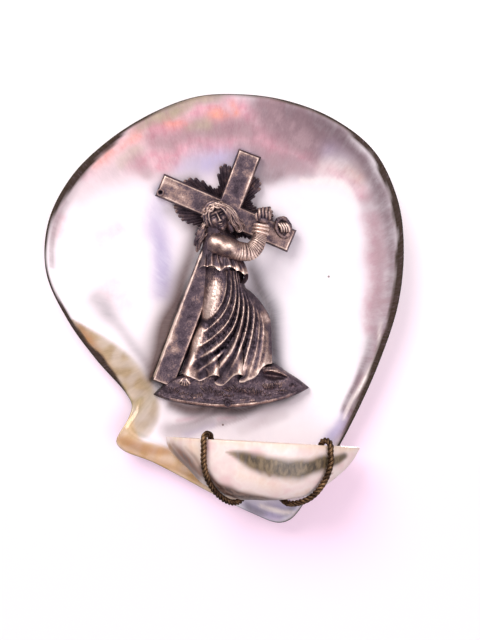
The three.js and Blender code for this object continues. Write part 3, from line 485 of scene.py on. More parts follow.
def paint_zones(tree, colour, zones, shade):
    """Lays tints over a colour. A zone is a mask, a deep and a pale colour, and how much shows."""
    for name, deep, pale, shown in zones:
        mask = add_node(tree, "Attribute", attribute_name=name).outputs["Fac"]
        factor = add_node(tree, "Math", {0: mask, 1: shown}, operation="MULTIPLY", use_clamp=True)
        tint = add_node(tree, "Mix", {MIX_FACTOR: shade, MIX_A: deep, MIX_B: pale}, data_type="RGBA")
        colour = add_node(tree, "Mix", {
            MIX_FACTOR: factor, MIX_A: colour, MIX_B: tint,
        }, data_type="RGBA")
    return colour


def pearl_colour(tree, place, flow):
    """Nearly white pearl with its zones of reflected colour and of painted shade round the castings,
    which streaks and patches break up.
    flow is in millimetres, so a scale of 0.42 makes streaks about 2.4 mm wide, and 2.6 lines of 0.4 mm."""
    streaks = add_node(tree, "TexNoise", {"Vector": flow, "Scale": 0.42, "Detail": 6, "Roughness": 0.65})
    clouds = add_node(tree, "TexNoise", {"Vector": place, "Scale": 1 / (9 * MM), "Detail": 6})
    spread = add_node(tree, "Mix", {0: 0.5, 2: clouds, 3: streaks}, data_type="FLOAT")
    broken = add_node(tree, "MapRange", {
        "Value": spread, "From Min": 0.42, "From Max": 0.58, "To Min": 0.7, "To Max": 1.1,
    })
    blotch = add_node(tree, "MapRange", {"Value": spread, "From Min": 0.4, "From Max": 0.6})
    # Patches a few millimetres across, where one reflected colour takes over from its neighbour
    patches = add_node(tree, "TexNoise", {
        "Vector": place, "Scale": 1 / (5 * MM), "Detail": 4, "Roughness": 0.6,
    })
    here, elsewhere = (add_node(tree, "MapRange", {
        "Value": patches, "From Min": 0.4, "From Max": 0.6, "To Min": low, "To Max": high,
    }) for low, high in ((0.6, 1.15), (1.05, 0.6)))
    # Fine growth lines, which give the bands their silky look
    silk = add_node(tree, "TexNoise", {"Vector": flow, "Scale": 2.6, "Detail": 4, "Roughness": 0.7})
    silky = add_node(tree, "Mix", {0: 0.45, 2: blotch, 3: silk}, data_type="FLOAT")
    white = add_node(tree, "Mix", {MIX_FACTOR: clouds, MIX_A: "#fdf9fd", MIX_B: "#efe8f1"}, data_type="RGBA")
    return paint_zones(tree, white, (
        ("wash", "#8f747c", "#d2b2bb", 1.0), ("rose", "#b06f83", "#e6afbd", here),
        ("tan", "#6d5661", "#ae949b", broken), ("olive", "#85806a", "#bdb095", elsewhere),
        ("orange", "#de7a60", "#f0b199", here), ("mauve", "#43343f", "#7d6972", broken),
        # Among these are painted shade round the castings and a painted shadow along them
        ("lilac", "#8f94c0", "#c0b7d4", broken), ("grey_and_painted_shade", "#74767f", "#a3a2a8", 1.0),
        ("painted_shadow_and_tarnish", "#221d20", "#544e4c", 1.0), ("pale", "#f3e6e2", "#fbf3f0", broken),
        ("ligament", "#84734f", "#b4a27d", 1.0), ("plate", "#b08c5c", "#d2b588", 1.0),
        ("amber", "#7a4e25", "#b08046", broken),
    ), silky)


def nacre_material():
    """Polished mother-of-pearl. Its zones are painted on the mesh as attributes."""
    material, tree = new_material("mother_of_pearl_polished")
    flow = add_node(tree, "Attribute", attribute_name="flow").outputs["Vector"]
    place = add_node(tree, "TexCoord").outputs["Object"]
    colour = pearl_colour(tree, place, flow)
    # Specks of dirt and pinholes in the pearl, one or two to the square inch
    specks = add_node(tree, "TexVoronoi", {"Vector": place, "Scale": 1 / (SPECK_PITCH * MM)})
    speck = add_node(tree, "MapRange", {
        "Value": specks, "From Min": 0.018, "From Max": 0.03, "To Min": 0.8, "To Max": 0.0,
    })
    colour = add_node(tree, "Mix", {MIX_FACTOR: speck, MIX_A: colour, MIX_B: "#5b4035"}, data_type="RGBA")
    # The prismatic layer that borders the nacre: dark brown calcite, duller than the pearl
    border = add_node(tree, "Attribute", attribute_name="border").outputs["Fac"]
    prisms = add_node(tree, "TexNoise", {"Vector": flow, "Scale": 1 / BORDER_GRAIN, "Detail": 3})
    dark = add_node(tree, "ValToRGB", {"Fac": prisms},
                    stops=[(0.35, "#110d11"), (0.62, "#2b242b"), (0.8, "#574c57")])
    colour = add_node(tree, "Mix", {MIX_FACTOR: border, MIX_A: colour, MIX_B: dark}, data_type="RGBA")
    rough = add_node(tree, "MapRange", {"Value": border, "To Min": 0.24, "To Max": 0.75})
    polish = add_node(tree, "MapRange", {"Value": border, "To Min": 0.6, "To Max": 0.0})
    waves = add_node(tree, "TexNoise", {"Vector": place, "Scale": 1 / (3.5 * MM), "Detail": 2})
    bump = add_node(tree, "Bump", {"Height": waves, "Strength": 0.12, "Distance": 0.4 * MM})
    shader = add_node(tree, "BsdfPrincipled", {
        "Base Color": colour, "Roughness": rough, "Normal": bump, "IOR": 1.6,
        "Coat Weight": polish, "Coat Roughness": 0.12, "Thin Film Thickness": 420.0, "Thin Film IOR": 1.45,
    })
    add_node(tree, "OutputMaterial", {"Surface": shader})
    return material

# %% [markdown]
# ## The valve's outer crust
# The outside is the animal's rough coat: olive-brown calcite in scales that follow the growth, with paler
# rays. The maker ground it flat at the belly, where the pearl under it shows. Noise in growth coordinates
# makes streaks that follow the rings, which plain noise would not.

# %% Shell crust
def crust_material():
    material, tree = new_material("oyster_crust_rough")
    flow = add_node(tree, "Attribute", attribute_name="growth").outputs["Vector"]
    place = add_node(tree, "TexCoord").outputs["Object"]
    scales = add_node(tree, "TexNoise", {"Vector": flow, "Scale": 0.6, "Detail": 6, "Roughness": 0.6})
    colour = add_node(tree, "ValToRGB", {"Fac": scales}, stops=[
        (0.28, "#26211d"), (0.45, "#4a4137"), (0.58, "#6f634f"), (0.72, "#a99b80"),
    ])
    rays = add_node(tree, "Attribute", attribute_name="rays").outputs["Fac"]
    colour = add_node(tree, "Mix", {MIX_FACTOR: rays, MIX_A: colour, MIX_B: "#b7ab90"}, data_type="RGBA")
    ground = add_node(tree, "Attribute", attribute_name="ground_flat").outputs["Fac"]
    pearl = add_node(tree, "TexNoise", {"Vector": place, "Scale": 1 / (7 * MM), "Detail": 4})
    shown = add_node(tree, "ValToRGB", {"Fac": pearl}, stops=[
        (0.35, "#9d9290"), (0.5, "#c9bfb9"), (0.65, "#b5a48c"),
    ])
    colour = add_node(tree, "Mix", {MIX_FACTOR: ground, MIX_A: colour, MIX_B: shown}, data_type="RGBA")
    rough = add_node(tree, "MapRange", {"Value": ground, "To Min": 0.72, "To Max": 0.38})
    grit = add_node(tree, "TexNoise", {"Vector": place, "Scale": 1 / (0.9 * MM), "Detail": 4})
    bump = add_node(tree, "Bump", {"Height": grit, "Strength": 0.5, "Distance": 0.3 * MM})
    shader = add_node(tree, "BsdfPrincipled", {
        "Base Color": colour, "Roughness": rough, "Normal": bump, "IOR": 1.55,
    })
    add_node(tree, "OutputMaterial", {"Surface": shader})
    return material

# %% [markdown]
# ## The basin's shell
# The basin is cut from a thick white sea shell, polished down to its porcelain layer. Some of the outer
# layer is left as a grey-green band and brown patches, and the rest is cream and pink. It is the nacre's
# recipe with other zones.

# %% Polished porcelain shell
def basin_material():
    material, tree = new_material("porcelain_shell_polished")
    place = add_node(tree, "TexCoord").outputs["Object"]
    along = add_node(tree, "Mapping", {"Vector": place, "Scale": (1.0, 1.0, 0.3)}).outputs["Vector"]
    streaks = add_node(tree, "TexNoise", {
        "Vector": along, "Scale": 1 / (1.7 * MM), "Detail": 4, "Roughness": 0.55,
    })
    clouds = add_node(tree, "TexNoise", {"Vector": place, "Scale": 1 / (8 * MM), "Detail": 3})
    colour = add_node(tree, "ValToRGB", {"Fac": clouds}, stops=[
        (0.3, "#e8cbbc"), (0.5, "#f3e1db"), (0.7, "#ebcac8"),
    ])
    streaky, broken = (add_node(tree, "MapRange", {
        "Value": streaks, "From Min": start, "From Max": end, "To Min": low, "To Max": high,
    }) for start, end, low, high in ((0.38, 0.6, 0, 1), (0.35, 0.62, 0.85, 1.1)))
    colour = paint_zones(tree, colour, (
        ("cream", "#eac9ab", "#f4dfca", broken), ("brown", "#4c3028", "#8c6554", broken),
        ("mauve", "#47332c", "#7f655a", broken), ("green", "#43382a", "#7f6d53", broken),
    ), streaky)
    bump = add_node(tree, "Bump", {"Height": streaks, "Strength": 0.15, "Distance": 0.2 * MM})
    shader = add_node(tree, "BsdfPrincipled", {
        "Base Color": colour, "Roughness": 0.32, "Normal": bump, "IOR": 1.55,
        "Coat Weight": 0.4, "Coat Roughness": 0.1,
    })
    add_node(tree, "OutputMaterial", {"Surface": shader})
    return material

# %% [markdown]
# ## Metals
# The castings are white metal, silvered and then darkened with sulphide. The dark skin stays in the hollows
# and is rubbed away from what stands proud, so the colour follows the relief measured on the mesh. Noise
# alone would put it anywhere. The browned wire and the dulled brass use the same recipe.

# %% Oxidised metals
def metal_material(name, skin, fine, broad, bias, mottle_mm, roughness):
    """A metal under a dark skin, a ramp from hollow to rubbed. fine and broad weigh the relief."""
    material, tree = new_material(name)
    place = add_node(tree, "TexCoord").outputs["Object"]
    proud = add_node(tree, "Attribute", attribute_name="proud").outputs["Fac"]
    standing = add_node(tree, "Attribute", attribute_name="standing").outputs["Fac"]
    rubbed = add_node(tree, "TexNoise", {"Vector": place, "Scale": 1 / (6 * MM), "Detail": 3})
    rubbed = add_node(tree, "MapRange", {
        "Value": rubbed, "From Min": 0.35, "From Max": 0.65, "To Min": 0.45, "To Max": 1.25,
    })
    mottle = add_node(tree, "TexNoise", {"Vector": place, "Scale": 1 / (mottle_mm * MM), "Detail": 6,
                                         "Roughness": 0.68})
    pits = add_node(tree, "TexNoise", {"Vector": place, "Scale": 1 / (0.45 * MM), "Detail": 2})
    worn = add_node(tree, "Attribute", attribute_name="worn").outputs["Fac"]
    relief = 0.0
    # The strokes of wear lighten the metal: polish, and in places painted highlights
    for value, share in ((proud, fine), (standing, broad), (worn, 0.4)):
        relief = add_node(tree, "Math", {0: value, 1: share, 2: relief}, operation="MULTIPLY_ADD")
    wear = add_node(tree, "Math", {0: relief, 1: rubbed, 2: bias}, operation="MULTIPLY_ADD")
    for value, share in ((mottle, 0.7), (pits, 0.25)):
        wear = add_node(tree, "Math", {0: value, 1: share, 2: wear}, operation="MULTIPLY_ADD")
    colour = add_node(tree, "ValToRGB", {"Fac": wear}, stops=skin)
    rough = add_node(tree, "MapRange", {"Value": wear, "To Min": roughness[0], "To Max": roughness[1]})
    dents = add_node(tree, "TexNoise", {"Vector": place, "Scale": 1 / (0.8 * MM), "Detail": 2})
    hammered = add_node(tree, "Bump", {"Height": dents, "Strength": 0.35, "Distance": 0.14 * MM})
    bump = add_node(tree, "Bump", {
        "Height": pits, "Strength": 0.4, "Distance": 0.1 * MM, "Normal": hammered,
    })
    shader = add_node(tree, "BsdfPrincipled", {
        "Base Color": colour, "Metallic": 1.0, "Roughness": rough, "Normal": bump,
    })
    add_node(tree, "OutputMaterial", {"Surface": shader})
    return material


SILVERED_SKIN = [(0.14, "#0c090d"), (0.36, "#40373f"), (0.51, "#64565e"), (0.66, "#a1877f"),
                 (0.88, "#f2d9cc")]
WIRE_SKIN = [(0.2, "#0b0705"), (0.45, "#241a13"), (0.62, "#483629"), (0.85, "#84684c")]
BRASS_SKIN = [(0.2, "#3b2b17"), (0.45, "#7c6238"), (0.65, "#a9864f"), (0.88, "#dcc187")]

nacre = nacre_material()
crust = crust_material()
porcelain = basin_material()
silvered = metal_material("white_metal_silvered_oxidised", SILVERED_SKIN, fine=2.8, broad=0.6, bias=0.0,
                          mottle_mm=3.8, roughness=(0.62, 0.46))
brown_brass = metal_material("brass_wire_browned", WIRE_SKIN, fine=1.6, broad=0.2, bias=0.0,
                             mottle_mm=1.8, roughness=(0.6, 0.4))
dull_brass = metal_material("brass_dulled", BRASS_SKIN, fine=1.2, broad=0.3, bias=0.05,
                            mottle_mm=3.0, roughness=(0.5, 0.3))
print("materials:", [material.name for material in bpy.data.materials])


def finish_cast(bm, name, node="figure", **settings):
    """Finishes a piece of the silvered castings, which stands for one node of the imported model."""
    return finish(bm, name, from_casting, "white_metal", [silvered], replaced=[node], **settings)


def finish_brass(bm, name, node, to_row=from_valve, **settings):
    """Finishes a piece of the dulled brass fittings."""
    return finish(bm, name, to_row, "brass", [dull_brass], replaced=[node], **settings)

# %% [markdown]
# ## The valve
# The real valve grew ring by ring from its hinge, the amber corner at the lower left. Here a grid is rolled
# round the belly, from the middle of the pearl over the lip to the middle of the back, so that its rows
# follow the margin. Relief is added to both faces, and then the holes are drilled.

# %% The valve's surface
VALVE_SPOKES, VALVE_ROWS = 480, 150
LIP_ROUND, LIP_SHARE = 0.8, 0.03
UMBO = (-38, -52)
SCALE_PITCH, SCALE_DEPTH = 5.2, 0.5
# Width of the dark border round the pearl, in millimetres, for directions in degrees round the belly
BORDER_WIDTHS = [
    (-180, 2.2), (-166, 3), (-154, 1.6), (-141, 0), (-94, 0.1), (-76, 0.6), (-66, 0.9), (-50, 1.3),
    (-36, 1.8), (-15, 2.5), (0, 3), (25, 3.5), (43, 3), (62, 1.5), (88, 0.8), (104, 0.8), (116, 1.6),
    (132, 3.4), (149, 1.6), (160, 1), (175, 2.1), (180, 2.2),
]
PEARL_STEP = 0.3
HINGE_RIDGE = [(-33, -38, 1.1, 0.4), (-34.4, -43.6, 1.1, 0.5), (-37.4, -48.4, 0.9, 0.6),
               (-34.4, -51.3, 0.9, 0.6), (-27.5, -54.2, 0.9, 0.5), (-20, -57, 1, 0.2)]
NOTCH_RIDGE = [(-56, -10, 1.6, 0.1), (-46, -17, 1.8, 0.35), (-35, -26, 2, 0.45), (-27, -36, 2.2, 0.4),
               (-24, -44, 2.5, 0.1)]
HINGE_FURROW = [(-39, -52.5, 1.2, 0.35), (-28, -59, 1.4, 0.4), (-14, -66, 1.4, 0.3), (-4, -71, 1.2, 0.1)]


def from_margin(u, w):
    """Distance from the margin along the spoke, in millimetres."""
    angle, radius = polar(u, w)
    return outline_radius(angle) - radius


def border_width(u, w):
    angle, _ = polar(u, w)
    raggedness = 0.12 * ripples(60 * np.cos(angle), 60 * np.sin(angle), 12, seed=3)
    wide = line_value(BORDER_WIDTHS, np.degrees(angle))
    return wide * (1 + raggedness)


def pearl_relief(u, w):
    """Unevenness of the polished side, with the step at the pearl's border and the ridges of the hinge."""
    edge, wide = from_margin(u, w), border_width(u, w)
    step = PEARL_STEP * (1 - ease(edge, wide - 0.2, wide + 0.5)) * ease(wide, 0, 1)
    ridges = stroke(u, w, HINGE_RIDGE) + stroke(u, w, NOTCH_RIDGE) - stroke(u, w, HINGE_FURROW)
    return 0.08 * ripples(u, w, 21, seed=5) + 0.02 * ripples(u, w, 6, seed=6) + ridges - step


def crust_relief(u, w):
    """Depth of the crust's scales below the back, which grow in rings round the umbo."""
    away = np.hypot(u - UMBO[0], w - UMBO[1])
    ragged = 1.1 * ripples(u, w, 14, seed=8) + 0.35 * ripples(u, w, 4, seed=9)
    scale = ((away + ragged) / SCALE_PITCH) % 1
    return SCALE_DEPTH * scale**2 + 0.08 * (1 + ripples(u, w, 2.2, seed=10))


def valve_surface(across, down):
    angle = 2 * np.pi * across
    front = down < 0.5
    part = np.where(front, 2 * down, 2 * (1 - down))
    margin = outline_radius(angle)
    inside = np.clip(part / (1 - LIP_SHARE), 0, 1) ** 0.9
    turn = np.clip((part - 1 + LIP_SHARE) / LIP_SHARE, 0, 1) * np.pi / 2
    radius = inside * (margin - LIP_ROUND) + LIP_ROUND * np.sin(turn)
    u, w = BELLY[0] + radius * np.cos(angle), BELLY[1] + radius * np.sin(angle)
    back = back_height(u, w)
    lip = 1 - inside**10
    top = front_height(u, w) + pearl_relief(u, w) * blend(0.35, 1, lip)
    bottom = back + crust_relief(u, w) * lip * ease(back, 0.15, 1.5)
    middle = (top + bottom) / 2
    return u, w, middle + np.where(front, 1, -1) * (top - bottom) / 2 * np.cos(turn)

# %% Drill the valve
WIRE_HOLES = [(8.6, -72.6), (18, -73.4)]
RIVETS = [(-25.2, 40.4), (-0.1, -38.4)]
WIRE_HOLE_RADIUS, RIVET_HOLE_RADIUS, STUD_HOLE_RADIUS = 1.6, 1, 1.45
RIVET_SEAT_RADIUS, HANGER_SEAT_RADIUS = 2.7, 3.9
HANGER_WASHER_RADIUS, RIVET_WASHER_RADIUS = 3.4, 2.4
# Ends of the drills, which stand clear of the valve behind and in front of it
BIT_LOW, BIT_HIGH, LEANING_BIT_LOW, LEANING_BIT_HIGH = -3, 40, -30, 3
RIVET_TAIL, WALL_CLEAR, RIVET_WASHER_THICKNESS = 0.6, 0.2, 0.6
rim_turns = np.linspace(0, 2 * np.pi, 17)[:-1]


def circle(u, w, radius):
    """Places round a circle, as all their u and all their w."""
    return u + radius * np.cos(rim_turns), w + radius * np.sin(rim_turns)


def back_below(u, w):
    """Height of the valve's back under a place on the castings."""
    lean = math.cos(casting_lean)
    return (back_height(u, w * lean) - casting_lift) / lean - w * math.tan(casting_lean)


def rivet_seat(u, w):
    stack = WALL_CLEAR + RIVET_TAIL + RIVET_WASHER_THICKNESS + 2 * TOUCH_GAP
    deepest = (stack - casting_lift) / math.cos(casting_lean) - w * math.tan(casting_lean)
    return max(deepest, back_below(*circle(u, w, RIVET_WASHER_RADIUS)).max())


hanger_seat = back_height(*circle(STUD_U, STUD_W, HANGER_WASHER_RADIUS)).max()


def add_bar(bm, u, w, low, high, radius, segments=40):
    matrix = Matrix.Translation((u, w, (low + high) / 2))
    return bmesh.ops.create_cone(bm, cap_ends=True, segments=segments, radius1=radius, radius2=radius,
                                 depth=high - low, matrix=matrix)["verts"]


def bits(square, leaning):
    """Bars to be cut out of the valve, as one mesh. A bar is u, w, low end, high end and radius."""
    bm = bmesh.new()
    for bars, to_row in ((square, from_valve), (leaning, from_casting)):
        for bar in bars:
            for vertex in add_bar(bm, *bar):
                vertex.co = to_row(*vertex.co)
    return add_object("bits", mesh_of(bm, "bits"))


def evaluated_mesh(obj):
    """A copy of a piece's mesh with its modifiers applied."""
    bpy.context.view_layer.update()
    return bpy.data.meshes.new_from_object(obj.evaluated_get(bpy.context.evaluated_depsgraph_get()))


def drill(obj, cutter):
    """Cuts the cutter out of a piece and keeps the result as its mesh."""
    cut = obj.modifiers.new("holes", "BOOLEAN")
    cut.operation, cut.object, cut.solver = "DIFFERENCE", cutter, "EXACT"
    mesh = evaluated_mesh(obj)
    mesh.name = obj.name
    obj.modifiers.clear()
    obj.data = mesh
    bpy.data.objects.remove(cutter)


def valve_coordinates(mesh):
    x, y, z = vertex_places(mesh).T / MM
    return x + NAIL_U, z + NAIL_W, -y


bm = bmesh.new()
add_sheet(bm, VALVE_SPOKES, VALVE_ROWS, valve_surface)
valve = finish(bm, "valve", from_valve, "nacre", [nacre, crust], replaced=["shell_valve"], crease=60)
# The seats come first and the holes after them, because a cutter may not cut itself
drill(valve, bits([(STUD_U, STUD_W, BIT_LOW, hanger_seat, HANGER_SEAT_RADIUS)],
                  [(u, w, LEANING_BIT_LOW, rivet_seat(u, w), RIVET_SEAT_RADIUS) for u, w in RIVETS]))
drill(valve, bits([(u, w, BIT_LOW, BIT_HIGH, WIRE_HOLE_RADIUS) for u, w in WIRE_HOLES]
                  + [(STUD_U, STUD_W, BIT_LOW, BIT_HIGH, STUD_HOLE_RADIUS)],
                  [(u, w, LEANING_BIT_LOW, LEANING_BIT_HIGH, RIVET_HOLE_RADIUS) for u, w in RIVETS]))
print("valve after drilling:", len(valve.data.polygons), "faces")

# %% [markdown]
# ## Colour zones on the pearl
# The zones are soft brush strokes along the valve, stored on the mesh like painted masks, and the material
# decides what each looks like. Some strokes are painted shade and painted shadow round the castings. The
# back gets growth coordinates round the umbo.

# %% Paint the valve's zones
# Each zone has the crispness of its edge and its strokes: u, w, half width and strength
ZONES = {
    "wash": (2, [
        [(-56, 40, 5, 0.4), (-45, 49, 8, 0.6), (-30, 56, 11, 0.8), (-10, 62, 13, 1), (6, 64, 13, 1),
         (20, 61, 12, 1), (32, 56, 9, 0.9), (43, 49, 6, 0.8), (51, 38, 3, 0.5)]]),
    "rose": (2.4, [
        [(-53, 46, 2.4, 0.4), (-43, 56.5, 3, 0.5), (-32, 62, 5, 0.9), (-21, 66, 6.5, 1), (-9, 68, 7, 1),
         (2, 70, 6, 1), (7, 69, 4.5, 0.9)],
        [(-36, 50, 3, 0.5), (-29, 52, 5, 0.9), (-20, 54.5, 5, 0.85), (-10, 59, 4.5, 0.8), (1, 59, 5, 0.9)],
        [(8, 62, 5, 0.7), (15, 59, 6, 0.8), (24, 56, 6, 0.8), (32, 52, 4, 0.6)],
        [(35, 51, 2.5, 0.5), (42, 48.5, 3.5, 0.8), (48, 44.5, 3.5, 0.9), (52, 38, 2.6, 0.5)],
        [(-47, 23, 4, 0.25), (-40, 27, 3, 0.3)], [(-44, 3, 5, 0.3), (-38, -1, 4, 0.2)],
        [(-63, 24, 2, 0.4), (-62, 30, 2, 0.4)],
        [(54.4, 30, 4, 0.6), (55, 10, 4, 0.6), (53.6, -10, 3, 0.5)],
        [(-19, -45.2, 1.1, 0.4), (-12, -43.4, 1.1, 0.5)], [(-4, -45.6, 0.9, 0.4), (3, -43.6, 0.9, 0.4)],
        [(10, -79, 1.2, 0.6), (18, -82.2, 1.2, 0.6)], [(21, -75.8, 1.2, 0.5), (28, -73.6, 1, 0.5)]]),
    "tan": (3, [
        [(-34, 64, 2, 0.6), (-25, 69.5, 3, 0.9), (-15, 73.4, 2.6, 0.9), (-4, 75.6, 1.8, 0.6)],
        [(-30, 60, 3, 0.6), (-19, 61, 4, 0.7), (-9, 64, 4.5, 1), (2, 65, 4.5, 0.9), (8, 63, 4, 0.8)],
        [(13, 72.6, 4.4, 1.1), (19, 69, 8.4, 1.15), (27, 64, 10, 1.15), (35, 58.6, 9, 1.1), (42, 55, 6, 1),
         (50, 47, 4.5, 0.9)],
        [(8, 56, 6, 0.6), (16, 51, 7, 0.85), (24, 50, 5.5, 0.8), (30, 48, 3.5, 0.6)],
        [(-24, -50, 3, 0.3), (-16, -48.6, 3, 0.4), (-8, -46.8, 2.4, 0.3)],
        [(-21, -47.8, 0.8, 0.4), (-13, -45.6, 1.1, 0.7), (-5, -43.2, 0.9, 0.6), (1, -41.8, 0.6, 0.3)],
        [(-8, -48.8, 0.7, 0.3), (0, -46.2, 1, 0.5), (7, -43.6, 0.7, 0.3)],
        [(6, -49, 2, 0.2), (14, -46.4, 2.4, 0.3), (22, -42.8, 2, 0.2)],
        [(-34, 51, 3.5, 0.5), (-30, 47, 2.6, 0.6)],
        [(55.4, 38, 5, 0.7), (57.6, 24, 6.4, 0.75), (58.6, 8, 6.6, 0.8), (58, -4, 6, 0.85),
         (56.4, -14, 5, 0.95), (54, -24, 3.9, 1), (49.6, -34, 3.3, 1), (45, -44, 3, 0.95),
         (41, -53, 2.6, 0.8)]]),
    "olive": (2.4, [
        [(-36, 62, 2, 0.5), (-28, 67.4, 2.6, 0.8), (-20, 71.6, 3, 0.9), (-11, 74.4, 2.4, 0.8),
         (-2, 76, 1.6, 0.4)],
        [(-15, 64, 2, 0.5), (-8, 66, 2.4, 0.6)], [(-40, 52, 2.4, 0.5), (-35, 55.4, 2.4, 0.5)]]),
    "orange": (1.7, [
        [(-6.4, 69, 1.8, 0.7), (-3.4, 70.4, 1.8, 1), (-0.6, 70, 1.4, 0.7)],
        [(1.6, 73, 1.4, 0.5), (2.4, 70, 1.4, 0.6)],
        [(-22, 66.6, 2, 0.5), (-18, 66.4, 2, 0.5)],
        [(-50, 49.5, 1.6, 0.4), (-42, 57, 2, 0.5), (-34, 60.6, 2, 0.4)],
        [(46, 48, 1.6, 0.3), (49, 46, 1.6, 0.35)]]),
    "mauve": (2.4, [
        [(18, 73, 2, 0.35), (27, 69, 4, 0.6), (35, 64, 5, 0.7), (43, 57, 5, 0.6), (50, 49, 3.4, 0.5)],
        [(27, 70.5, 2, 0.5), (34, 66.6, 3.2, 0.9), (41, 61.4, 3.6, 1), (48, 54.4, 2.6, 0.9),
         (54, 46, 2.8, 0.85), (57.6, 38, 3, 0.8), (60.4, 28, 2.6, 0.7), (61.8, 12, 2, 0.6),
         (61, -4, 2, 0.6), (57.6, -16, 1.8, 0.6)],
        [(53, -14, 1, 0.3), (51.6, -22, 1.2, 0.6), (47.8, -31, 1.3, 0.8), (43.4, -41, 1.3, 0.8)],
        [(61, -8, 1.6, 0.8), (58, -18, 1.6, 0.9), (53, -29, 1.6, 0.9), (48, -39, 1.4, 0.8),
         (43, -49, 1.2, 0.7)],
        [(-65, 12, 1.2, 0.5), (-65, 24, 1.6, 0.7), (-61, 36, 1.8, 0.6), (-54, 46, 1.6, 0.4)],
        [(12, 46, 2.5, 0.4), (20, 47, 2, 0.35)],
        [(8, -77, 1, 0.8), (14, -79.4, 1, 0.95), (19, -82, 1, 0.8)],
        [(15, -77, 0.7, 0.7), (20, -79.4, 0.8, 0.85), (24, -80.6, 0.6, 0.6)],
        [(22, -77, 0.6, 0.7), (27, -75, 0.6, 0.6)]]),
    "lilac": (2, [
        [(-25, 41, 3, 0.5), (-27, 31, 4.5, 0.7), (-26, 20, 4.5, 0.95), (-24, 10, 4.5, 1),
         (-25, 2, 3.6, 0.8)],
        [(-18, 49, 3, 0.5), (-9, 51, 4.5, 0.9), (-3, 54, 4, 0.9), (6, 51, 4, 0.5)],
        [(43, -44, 2.4, 0.6), (39.6, -50, 2.6, 0.9), (36, -57, 3, 0.8)],
        [(38, 55, 4, 0.3), (44, 52, 3, 0.25)],
        [(-16, -50.4, 1.8, 0.4), (-6, -47.8, 1.4, 0.4)],
        [(8, -77.4, 3, 0.7), (18, -80, 4.6, 0.9), (27, -76, 4, 0.7)]]),
    # The dull patches by the hinge and at the tip are the pearl's colour; the strokes beside the robe, under
    # the beam and along the ground are painted shade of the castings
    "grey_and_painted_shade": (2, [
        [(-50, 0.5, 3, 0.55), (-46, -4, 3.6, 0.7), (-41, -10, 2.4, 0.5), (-36, -17, 2, 0.5),
         (-31, -25, 1.6, 0.5)],
        [(9, 14, 2.8, 0.6), (12, 5, 3.6, 0.8), (17, -5, 3.6, 0.9), (17.6, -15, 3.2, 0.9),
         (19, -25, 3, 0.9)],
        [(-22, -40, 2.2, 0.7), (-11, -42, 2.6, 1), (2, -42, 1.9, 1), (14, -39.8, 1.7, 0.9),
         (26, -35, 1.4, 0.6)],
        [(-22, -49, 2.6, 0.4), (-12, -46.6, 2.6, 0.5), (-2, -46.4, 2, 0.3)],
        [(8, -78, 1.6, 0.6), (13, -79.6, 1.2, 0.7)], [(21, -81, 1.4, 0.7), (24, -77, 1.2, 0.6)],
        [(-21, 45, 2, 0.5), (-12, 46, 2.4, 0.5)], [(-23, 34, 2.4, 0.5), (-17, 27, 2.4, 0.4)]]),
    # Painted shadow of the castings on the pearl, along the upright's left side, under the ground and beside
    # the robe, with a little stain from the metal
    "painted_shadow_and_tarnish": (1.7, [
        [(-12, 26, 3, 0.6), (-15, 14, 4, 0.85), (-18.6, 3, 4.8, 1), (-22.6, -9, 5.4, 1.1),
         (-26.6, -21, 5.6, 1.15), (-30, -31, 4.4, 1)],
        [(-22, -39.4, 1.6, 0.8), (-11, -41, 2, 1), (3, -41, 1.4, 0.9), (14, -39, 1.2, 0.8),
         (25, -34.6, 1, 0.6)],
        [(8, 12, 1.6, 0.5), (13, 3, 1.6, 0.5), (17, -8, 1.4, 0.5), (17.4, -20, 1.4, 0.5)]]),
    "pale": (2.4, [
        [(57.4, -8, 0.7, 0.3), (56.4, -18, 0.8, 0.8), (52.6, -27, 0.9, 0.9), (48, -36, 0.9, 0.9),
         (43.4, -44, 0.8, 0.5)],
        [(28, 44.6, 1.2, 0.6), (36, 45, 1.6, 0.7), (43, 42, 2, 0.7), (48, 34, 1.8, 0.5)],
        [(36, 50, 4, 0.35), (43, 50, 4, 0.4), (49, 44, 3, 0.35)],
        [(13, -77, 0.9, 0.9), (19, -80, 1, 1), (24, -80, 0.8, 0.8)],
        [(24, -75, 1, 0.9), (28, -73.6, 1, 0.6)]]),
    "amber": (2.2, [
        [(-41.6, -51.6, 1.6, 0.6), (-37, -54.4, 2, 0.9), (-30, -56.6, 1.8, 0.8), (-23, -57, 1.6, 0.6)],
        [(-40, -55.6, 1.6, 0.5), (-25, -61.6, 2, 0.5), (-12, -67.4, 1.6, 0.4)],
        [(-57, -10, 1.4, 0.8), (-52.4, -15.6, 2.2, 0.95), (-47.6, -22.6, 1.6, 0.6), (-42, -31, 1.2, 0.3)]]),
}
# The hinge's ligament and its plate are layers of their own, with clear borders
HINGE_LAYERS = {
    "ligament": [(-58.6, -8, 1, 1), (-53, -15, 4.2, 1), (-46.6, -21, 6, 1), (-41, -27, 7, 1),
                 (-36.6, -34, 7.4, 1), (-33, -41, 7.4, 0.9), (-33, -47, 5.4, 0.8)],
    "plate": [(-38, -43, 2, 0.7), (-39.4, -49, 4.4, 1), (-35, -56, 4, 1), (-26, -59.6, 4.8, 1),
              (-14, -65.5, 4.6, 1), (-5, -70, 3.8, 1), (2, -74, 2, 0.7)],
}
STREAK_RADIUS, STREAK_STRETCH = 60, 0.3
RAY_COUNT = 19


